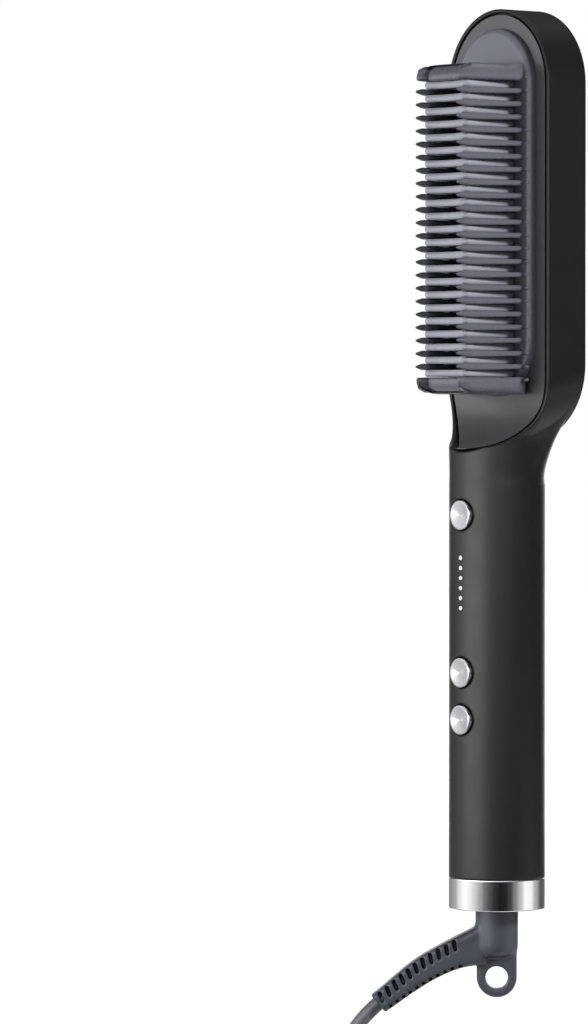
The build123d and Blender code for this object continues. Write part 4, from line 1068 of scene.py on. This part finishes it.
@dataclass
class MainsLead:
    """The mains lead: out of the guard, folded into a hank, and up into its plug."""

    diameter: float = 4.4
    length: float = 1800.0
    start: Point = (-35.55, -29.75)
    middle: float = -31.0
    top: float = -86.0
    low: float = -134.0
    outer_fold: float = 17.8
    inner_fold: float = 13.4
    outer_waist: float = 7.2
    inner_waist: float = 2.3
    layers: tuple[float, ...] = (-4.4, 0.0, 4.4, 8.8)
    tie_half: float = 5.0
    tail_out: float = -8.8
    tail_low: float = -150.0
    tail_radius: float = 15.0
    neck: float = -143.8
    bulge: float = 0.98

    def turns(self) -> list[Turn]:
        """The hank's turns: a layer of wide ones, then a layer of narrow ones inside it."""
        wide = [Turn(self.outer_fold, self.outer_waist, out) for out in self.layers]
        narrow = [Turn(self.inner_fold, self.inner_waist, out) for out in reversed(self.layers)]
        return wide + narrow

    def arc(self, height: float, first: float, last: float, before: Turn, after: Turn) -> list[Vector]:
        """Points round a fold, while the cord goes from one turn to the next.

        Args:
            height: Height of the fold's centre.
            first: Angle at which it starts, in degrees.
            last: Angle at which it ends.
            before: The turn it comes from.
            after: The turn it goes to.

        Returns:
            The points in the frame.
        """
        count = round((last - first) / 27)
        points = []
        for i in range(count + 1):
            share = i / count
            fold = before.fold + (after.fold - before.fold) * min(1.0, 2.4 * share)
            angle = radians(first + (last - first) * share)
            reach = fold / self.bulge
            points.append(CORD.at(self.middle + reach * cos(angle), height + reach * sin(angle),
                                  before.out + (after.out - before.out) * share))
        return points

    def waist(self, side: int, turn: Turn, down: bool) -> list[Vector]:
        """Two points where a turn passes the tie.

        Args:
            side: Which side of the hank, 1 or -1.
            turn: The turn.
            down: Whether the cord runs down there.

        Returns:
            The points in the frame.
        """
        middle = (self.top + self.low) / 2
        steps = (self.tie_half, -self.tie_half) if down else (-self.tie_half, self.tie_half)
        return [CORD.at(self.middle + side * turn.waist, middle + step, turn.out) for step in steps]

    def hank(self) -> list[Vector]:
        """The hank's points, from its first run down to its last fold."""
        turns = self.turns()
        first = turns[0]
        points = self.arc(self.top, 180, 225, first, first)[:1] + self.arc(self.top, 207, 225, first, first)
        for i, turn in enumerate(turns):
            points += self.waist(-1, turn, True)
            points += self.arc(self.low, 135, 405, turn, turn)
            points += self.waist(1, turn, False)
            after = turns[i + 1] if i + 1 < len(turns) else Turn(turn.fold, turn.waist, self.tail_out)
            points += self.arc(self.top, -45, 225, turn, after)
        return points

    def route(self) -> list[Vector]:
        """The whole lead's points, from inside the guard to inside the plug."""
        lead = [(-33.5, -27.9, 0.0), (*self.start, 0.0), (-38.4, -32.3, 0.0), (-42.0, -36.4, 0.0),
                (-45.8, -42.6, 0.0), (-48.6, -51.0, 0.0), (-49.7, -60.5, -0.8), (-49.7, -69.5, -2.4),
                (-49.4, -78.0, -4.0)]
        middle = (self.top + self.low) / 2
        down = [(self.middle, middle + self.tie_half, self.tail_out),
                (self.middle, middle - self.tie_half, self.tail_out),
                (self.middle, middle - 20.0, self.tail_out), (self.middle, self.tail_low + 8, self.tail_out)]
        centre = self.tail_out + self.tail_radius
        fold = []
        for i in range(7):
            turn = pi * (1 + i / 6)
            reach = self.tail_radius / self.bulge
            fold.append((self.middle, self.tail_low + reach * sin(turn), centre + reach * cos(turn)))
        far = self.tail_out + 2 * self.tail_radius
        rise = [(self.middle, self.neck, far), (self.middle, self.neck + 6, far),
                (self.middle, self.neck + 11, far)]
        return ([CORD.at(*place) for place in lead] + self.hank()
                + [CORD.at(*place) for place in down + fold + rise])

    def build(self) -> bpy.types.Object:
        """Builds the lead as one smooth curve in place of its plain solids.

        Returns:
            The curve object.
        """
        curve = bpy.data.curves.new("mains_lead", "CURVE")
        curve.dimensions = "3D"
        curve.bevel_depth = self.diameter / 2 * MM
        curve.bevel_resolution = 5
        curve.resolution_u = 6
        curve.use_fill_caps = True
        route = self.route()
        spline = curve.splines.new("NURBS")
        spline.points.add(len(route) - 1)
        for point, place in zip(spline.points, route):
            point.co = (*place, 1.0)
        spline.order_u = 4
        spline.use_endpoint_u = True
        lead = bpy.data.objects.new("mains_lead", curve)
        bpy.context.scene.collection.objects.link(lead)
        curve.materials.append(SHEATH_PVC.material())
        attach(lead, "swivel")
        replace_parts(lead, "power_cord", "cord_hank", "cord_tail")
        LOG.info("mains_lead: %d points", len(route))
        return lead


@dataclass
class HankTie:
    """The nylon band round the hank's waist, with its loose end."""

    middle: float = -31.0
    height: float = -110.0
    half_width: float = 9.9
    half_depth: float = 11.5
    half_height: float = 4.0
    thickness: float = 0.9
    corner: float = 4.5

    def build(self) -> bpy.types.Object:
        """Builds the band in place of its plain solid.

        Returns:
            The band.
        """
        seat = Seat(CORD.right, CORD.out, CORD.up, CORD.origin)
        sides = [(self.half_width, -self.half_depth), (self.half_width, self.half_depth),
                 (-self.half_width, self.half_depth), (-self.half_width, -self.half_depth)]
        inner = [(x + self.middle, y) for x, y in rounded(sides, [self.corner] * 4, 8)]
        draft = Draft()
        section = [(0.0, -1.0), (-0.7, -1.0), (-1.0, -0.92), (-1.0, 0.92), (-0.7, 1.0), (0.0, 1.0)]
        draft.skin([seat.ring(inset(inner, x * self.thickness), self.height + y * self.half_height)
                    for x, y in section], wrap=True)
        flap = [(x + self.middle, y) for x, y in rounded(
            [(self.half_width + 1.7, -self.half_depth + 3), (self.half_width + 1.7, 6.5),
             (self.half_width + 0.95, 6.5), (self.half_width + 0.95, -self.half_depth + 3)], [0.3] * 4)]
        draft.skin([seat.ring(flap, self.height + y * (self.half_height - 0.5)) for y in (-1, -0.9, 0.9, 1)])
        tie = draft.build("hank_band", TIE_NYLON, "swivel")
        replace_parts(tie, "hank_tie")
        return tie


@dataclass
class Plug:
    """The flat two-pin plug: ribbed neck, waisted grip and pins with insulated roots."""

    middle: float = -31.0
    base: float = -143.8
    out: float = 21.2
    neck: float = 14.0
    length: float = 24.0
    width: float = 35.3
    thickness: float = 13.7
    pin_radius: float = 2.0
    pin_length: float = 19.0
    pin_spacing: float = 18.6
    sleeve: float = 10.0

    def seat(self, height: float) -> Seat:
        """A level plane across the plug's axis, at a height above its neck's lower end."""
        origin = CORD.at(self.middle, self.base + height, self.out) / MM
        return Seat(CORD.right, CORD.out, CORD.up, tuple(origin))

    def outline(self, width: float, thickness: float) -> Loop:
        """A section of the body: an oval with flattened faces."""
        return [(width / 2 * abs(cos(t)) ** 0.8 * (1 if cos(t) > 0 else -1),
                 thickness / 2 * abs(sin(t)) ** 0.62 * (1 if sin(t) > 0 else -1))
                for t in [tau * (i + 0.5) / 48 for i in range(48)]]

    def body(self) -> bpy.types.Object:
        """Builds the body with its ribbed neck.

        Returns:
            The body.
        """
        draft = Draft()
        sections = ((13.4, 0.30, 0.52), (14.0, 0.36, 0.62), (15.0, 0.42, 0.72), (18.0, 0.5, 0.78),
                    (23.0, 0.66, 0.84), (28.0, 0.84, 0.9), (32.0, 0.95, 0.96), (34.5, 0.995, 1.0),
                    (36.6, 0.998, 1.0), (37.6, 0.985, 0.97), (38.0, 0.955, 0.9))
        draft.skin([self.seat(height).ring(self.outline(width * self.width, thick * self.thickness), 0.0)
                    for height, width, thick in sections])
        steps = 9
        ribs: list[Point] = [(2.3, 0.0)]
        for i in range(steps):
            low = 0.3 + i * (self.neck - 0.6) / steps
            reach = 3.4 + 1.2 * i / steps
            ribs += [(reach, low), (reach, low + 0.95), (reach - 0.75, low + 1.1), (reach - 0.75, low + 1.4)]
        ribs += [(4.6, self.neck + 0.4), (0.05, self.neck + 0.4)]
        draft.turn([(radius, height) for radius, height in ribs], self.seat(0.0), (0.0, 0.0), 32)
        body = draft.build("plug_moulding", PLUG_PVC, "swivel", 40.0)
        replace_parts(body, "plug_body")
        return body

    def pins(self) -> list[bpy.types.Object]:
        """Builds the pins and their sleeves.

        Returns:
            The pins, and the sleeves.
        """
        root = self.neck + self.length
        metal, sleeves = Draft(), Draft()
        pin = self.pin_radius
        bare = [(NEAR_AXIS, -0.6), (pin, -0.6), (pin, self.pin_length - 1.0)]
        bare += [(pin - (1 - cos(t)), self.pin_length - 1 + sin(t)) for t in (0.4, 0.8, 1.2, 1.5)]
        cover = [(pin + 0.02, -0.4), (pin + 0.12, -0.4), (pin + 0.12, self.sleeve - 0.2),
                 (pin + 0.02, self.sleeve)]
        for side in (-1, 1):
            place = (side * self.pin_spacing / 2, 0.0)
            metal.turn(bare + [(NEAR_AXIS, self.pin_length)], self.seat(root), place, 32)
            sleeves.turn(cover, self.seat(root), place, 32, closed=True)
        made = metal.build("plug_contacts", PIN_NICKEL, "swivel", 30.0)
        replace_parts(made, "plug_pins")
        return [made, sleeves.build("pin_sleeves", PLUG_PVC, "swivel", 30.0)]


# ---------------------------------------------------------------- pieces that keep their solids


@dataclass
class CarriedSolids:
    """The solids whose shape is final: they get their finish and broken edges."""

    finishes: dict[str, Finish] = field(default_factory=lambda: {
        "main_housing": HANDLE_ABS, "front_panel": PANEL_PAINT, "back_plate": PLATE_ABS,
        "ptc_tiles": TILE_CERAMIC, "electrode_plates": STRIP_ALUMINIUM,
        "insulation_film": FILM_AMBER, "heater_clamp": CLAMP_ZINC, "clamp_screws": SCREW_ZINC,
        "thermistor": BEAD_GLASS, "thermal_fuse": FUSE_CAN, "main_board": BOARD_GREEN,
        "board_tray": TRAY_NYLON, "tact_switches": SWITCH_RESIN, "status_leds": LED_EPOXY,
        "led_light_pipes": PIPE_CLEAR, "film_capacitor": CAPACITOR_CASE, "relay": RELAY_CASE,
        "control_chip": CHIP_EPOXY, "heater_leads": LEAD_SILICONE, "supply_leads": LEAD_SILICONE,
        "swivel_bush": BUSH_ACETAL, "bush_cap": BUSH_ACETAL, "swivel_stub": BUSH_ACETAL,
        "slip_rings": CONTACT_BRASS, "brush_contacts": CONTACT_BRASS})
    edges: dict[str, float] = field(default_factory=lambda: {
        "main_housing": 0.3, "front_panel": 0.3, "back_plate": 0.25, "film_capacitor": 0.6,
        "relay": 0.3, "tact_switches": 0.2, "board_tray": 0.2, "heater_clamp": 0.15,
        "ptc_tiles": 0.15, "led_light_pipes": 0.12, "swivel_stub": 0.3, "control_chip": 0.15})
    sharp: float = 32.0

    def build(self) -> None:
        """Dresses each solid."""
        for name, finish in self.finishes.items():
            solid = bpy.data.objects[name]
            smooth(solid, self.sharp)
            dress(solid, finish)
            if name in self.edges:
                soften(solid, self.edges[name])
            LOG.info("%s: %s", name, finish.name)


# ---------------------------------------------------------------- studio


@dataclass(frozen=True)
class Zone:
    """One height band of the studio's wall, and how brightly it shines all round.

    Light holds pairs of an angle from the camera's direction, in degrees towards the camera's
    right, and a strength. Foot is the radius of the band's lower edge where it lies on the floor.
    """

    name: str
    low: float
    high: float
    light: tuple[tuple[float, float], ...]
    foot: Optional[float] = None

    def strength(self, turn: float) -> float:
        """Reads the strength off a smooth line through the pairs.

        Args:
            turn: The angle.

        Returns:
            The strength there.
        """
        pairs = list(self.light)
        pairs = [(pairs[-1][0] - 360, pairs[-1][1])] + pairs + [(pairs[0][0] + 360, pairs[0][1])]
        for (left, before), (right, after) in zip(pairs, pairs[1:]):
            if left <= turn <= right:
                share = (turn - left) / (right - left)
                return before + (after - before) * share * share * (3 - 2 * share)
        return 0.0


@dataclass(frozen=True)
class Lamp:
    """One soft lamp: its angle from the camera's direction, its place in metres, and its power."""

    name: str
    turn: float
    height: float
    distance: float
    size: float
    power: float


APRON_LIGHT = ((-150, 0.9), (-110, 0.25), (-75, 1.0), (-40, 0.7), (-10, 0.12), (25, 0.12), (60, 0.9),
               (95, 0.25), (130, 0.9), (165, 0.12))


@dataclass
class Studio:
    """The white floor, the shining wall round it, the lamps and the camera."""

    view: float = 49.0
    lens_angle: float = 10.98
    distance: float = 1.6
    eye: float = 148.0
    centre: float = 118.0
    aside: float = -61.0
    floor: float = -178.0
    floor_tone: str = "#a8a8a8"
    floor_half: float = 6.0
    floor_white: float = 0.92
    world_white: float = 1.0
    world_light: float = 0.14
    wall: float = 0.7
    steps: int = 180
    lamp_aim: float = 0.13
    lamps: tuple[Lamp, ...] = (
        Lamp("left_lamp", -76, 0.2, 1.0, 0.25, 9.0), Lamp("right_lamp", 58, 0.52, 1.0, 0.2, 13.0),
        Lamp("back_lamp", 150, 0.35, 1.0, 0.4, 9.0))
    zones: tuple[Zone, ...] = (
        Zone("apron", -0.2436, -0.2434, APRON_LIGHT, 0.09),
        Zone("low_wall", -0.2434, -0.1, (
            (-151, 0.3), (-119, 0.45), (-99, 0.95), (-82, 1.25), (-67, 1.0), (-53, 0.68), (-40, 0.4),
            (-28, 0.17), (-16, 0.077), (-4, 0.031), (8, 0.009), (20, 0.014), (33, 0.067), (45, 0.27),
            (59, 0.62), (73, 1.15), (88, 1.1), (106, 0.5), (130, 0.12))),
        Zone("middle_wall", -0.1, 0.08, (
            (-147, 0.1), (-124, 0.3), (-98, 1.4), (-64, 6.0), (-42, 6.0), (-24, 2.2), (-6, 0.8), (20, 0.7),
            (35, 0.35), (50, 0.12), (67, 0.04), (140, 0.05), (165, 1.8), (185, 1.8))),
        Zone("high_wall", 0.08, 0.36, (
            (-147, 0.1), (-120, 0.8), (-95, 1.6), (-60, 3.4), (-40, 3.6), (-20, 3.2), (0, 2.8), (25, 2.0),
            (50, 1.0), (70, 0.4), (90, 0.1), (135, 0.1), (160, 1.8), (185, 1.8))),
        Zone("top_wall", 0.36, 1.1, ((0, 0.08), (180, 0.08))),
    )

    def direction(self, turn: float) -> Vector:
        """A level direction from the axis, at an angle from the camera's in degrees."""
        angle = radians(self.view - 90 + turn)
        return Vector((cos(angle), sin(angle), 0.0))

    def camera(self) -> None:
        """Places the camera, level with the comb and turned a little down and aside."""
        data = bpy.data.cameras.new("camera")
        data.sensor_fit = "VERTICAL"
        data.angle = radians(self.lens_angle)
        data.clip_end = 20.0
        eye = bpy.data.objects.new("camera", data)
        place = self.direction(0) * self.distance + Vector((0, 0, up(self.eye) * MM))
        target = CORD.at(self.aside, self.centre)
        eye.location = place
        eye.rotation_euler = (target - place).to_track_quat("-Z", "Y").to_euler()
        bpy.context.scene.collection.objects.link(eye)
        bpy.context.scene.camera = eye

    def shine(self) -> bpy.types.Material:
        """The wall's material: it sends out as much light as its vertices carry."""
        material = bpy.data.materials.new("shining_wall")
        material.use_nodes = True
        tree = material.node_tree
        tree.nodes.remove(tree.nodes["Principled BSDF"])
        carried = add_node(tree, "ShaderNodeAttribute", {"attribute_name": "shine"})
        light = add_node(tree, "ShaderNodeEmission", None, {"Strength": carried.outputs["Fac"]})
        tree.links.new(light.outputs[0], tree.nodes["Material Output"].inputs["Surface"])
        return material

    def zone(self, zone: Zone, material: bpy.types.Material) -> None:
        """Stands one band of the wall round the object, for glossy rays alone.

        Args:
            zone: The band.
            material: The wall's material.
        """
        turns = [-180 + 360 * i / self.steps for i in range(self.steps)]
        rims = ((zone.foot or self.wall, zone.low), (self.wall, zone.high))
        verts = [tuple(self.direction(turn) * radius + Vector((0, 0, height)))
                 for radius, height in rims for turn in turns]
        count = self.steps
        faces = [(i, (i + 1) % count, count + (i + 1) % count, count + i) for i in range(count)]
        mesh = bpy.data.meshes.new(zone.name)
        mesh.from_pydata(verts, [], faces)
        shine = mesh.attributes.new("shine", "FLOAT", "POINT")
        for i, value in enumerate(shine.data):
            value.value = zone.strength(turns[i % count])
        piece = bpy.data.objects.new(zone.name, mesh)
        bpy.context.scene.collection.objects.link(piece)
        mesh.materials.append(material)
        piece.visible_camera = False
        piece.visible_diffuse = False
        piece.visible_transmission = False
        piece.visible_shadow = False

    def pale(self) -> bpy.types.Material:
        """The floor's material: it shows as white, and keeps the shadow."""
        material = bpy.data.materials.new("studio_floor")
        material.use_nodes = True
        tree = material.node_tree
        shader = tree.nodes["Principled BSDF"]
        shader.inputs["Base Color"].default_value = colour(self.floor_tone)
        shader.inputs["Roughness"].default_value = 0.8
        glow = add_node(tree, "ShaderNodeEmission", None, {"Strength": self.seen(tree, self.floor_white)})
        both = add_node(tree, "ShaderNodeAddShader", None,
                        {0: shader.outputs[0], 1: glow.outputs[0]})
        tree.links.new(both.outputs[0], tree.nodes["Material Output"].inputs["Surface"])
        return material

    def seen(self, tree: bpy.types.NodeTree, strength: float,
             otherwise: float = 0.0) -> bpy.types.NodeSocket:
        """Strength of a background for what looks at it straight, in metal or through glass.

        Args:
            tree: The node tree.
            strength: The strength that camera, glossy and transmission rays meet.
            otherwise: The strength that other rays meet.

        Returns:
            The socket that carries it.
        """
        path = add_node(tree, "ShaderNodeLightPath")
        first = add_node(tree, "ShaderNodeMath", {"operation": "MAXIMUM"},
                         {0: path.outputs["Is Camera Ray"], 1: path.outputs["Is Glossy Ray"]})
        any_ray = add_node(tree, "ShaderNodeMath", {"operation": "MAXIMUM"},
                           {0: first.outputs[0], 1: path.outputs["Is Transmission Ray"]})
        blend = add_node(tree, "ShaderNodeMapRange", {3: otherwise, 4: strength},
                         {"Value": any_ray.outputs[0]})
        return blend.outputs["Result"]

    def surroundings(self) -> None:
        """Makes the floor and the world."""
        scene = bpy.context.scene
        size = self.floor_half
        height = up(self.floor) * MM
        mesh = bpy.data.meshes.new("floor")
        mesh.from_pydata([(-size, -size, height), (size, -size, height), (size, size, height),
                          (-size, size, height)], [], [(0, 1, 2, 3)])
        floor = bpy.data.objects.new("floor", mesh)
        scene.collection.objects.link(floor)
        mesh.materials.append(self.pale())
        world = bpy.data.worlds.new("studio")
        scene.world = world
        world.use_nodes = True
        tree = world.node_tree
        back = tree.nodes["Background"]
        back.inputs["Color"].default_value = (1, 1, 1, 1)
        tree.links.new(self.seen(tree, self.world_white, self.world_light), back.inputs["Strength"])
        scene.view_settings.view_transform = "Standard"

    def hang(self, lamp: Lamp) -> None:
        """Hangs one soft lamp that looks at the head.

        Args:
            lamp: The lamp.
        """
        data = bpy.data.lights.new(lamp.name, "AREA")
        data.energy = lamp.power
        data.size = lamp.size
        piece = bpy.data.objects.new(lamp.name, data)
        piece.location = self.direction(lamp.turn) * lamp.distance + Vector((0, 0, lamp.height))
        aim = Vector((0, 0, self.lamp_aim)) - piece.location
        piece.rotation_euler = aim.to_track_quat("-Z", "Y").to_euler()
        piece.visible_glossy = False
        bpy.context.scene.collection.objects.link(piece)

    def build(self) -> None:
        """Builds the whole studio."""
        self.surroundings()
        self.camera()
        material = self.shine()
        for zone in self.zones:
            self.zone(zone, material)
        for lamp in self.lamps:
            self.hang(lamp)


# ---------------------------------------------------------------- the whole


def main() -> None:
    """Builds each sub-assembly, then the lead that hangs from it, then the studio."""
    logging.basicConfig(level=logging.INFO, format="%(message)s")
    comb = Comb()
    comb.build()
    Heater(comb).build()
    BackTrim().build()
    Controls().build()
    EndRing().build()
    Guard().build()
    CarriedSolids().build()
    lead = MainsLead()
    cord = lead.build()
    plug = Plug()
    pieces = [HankTie().build(), plug.body(), *plug.pins()]
    Studio().build()


if __name__ == "__main__":
    main()
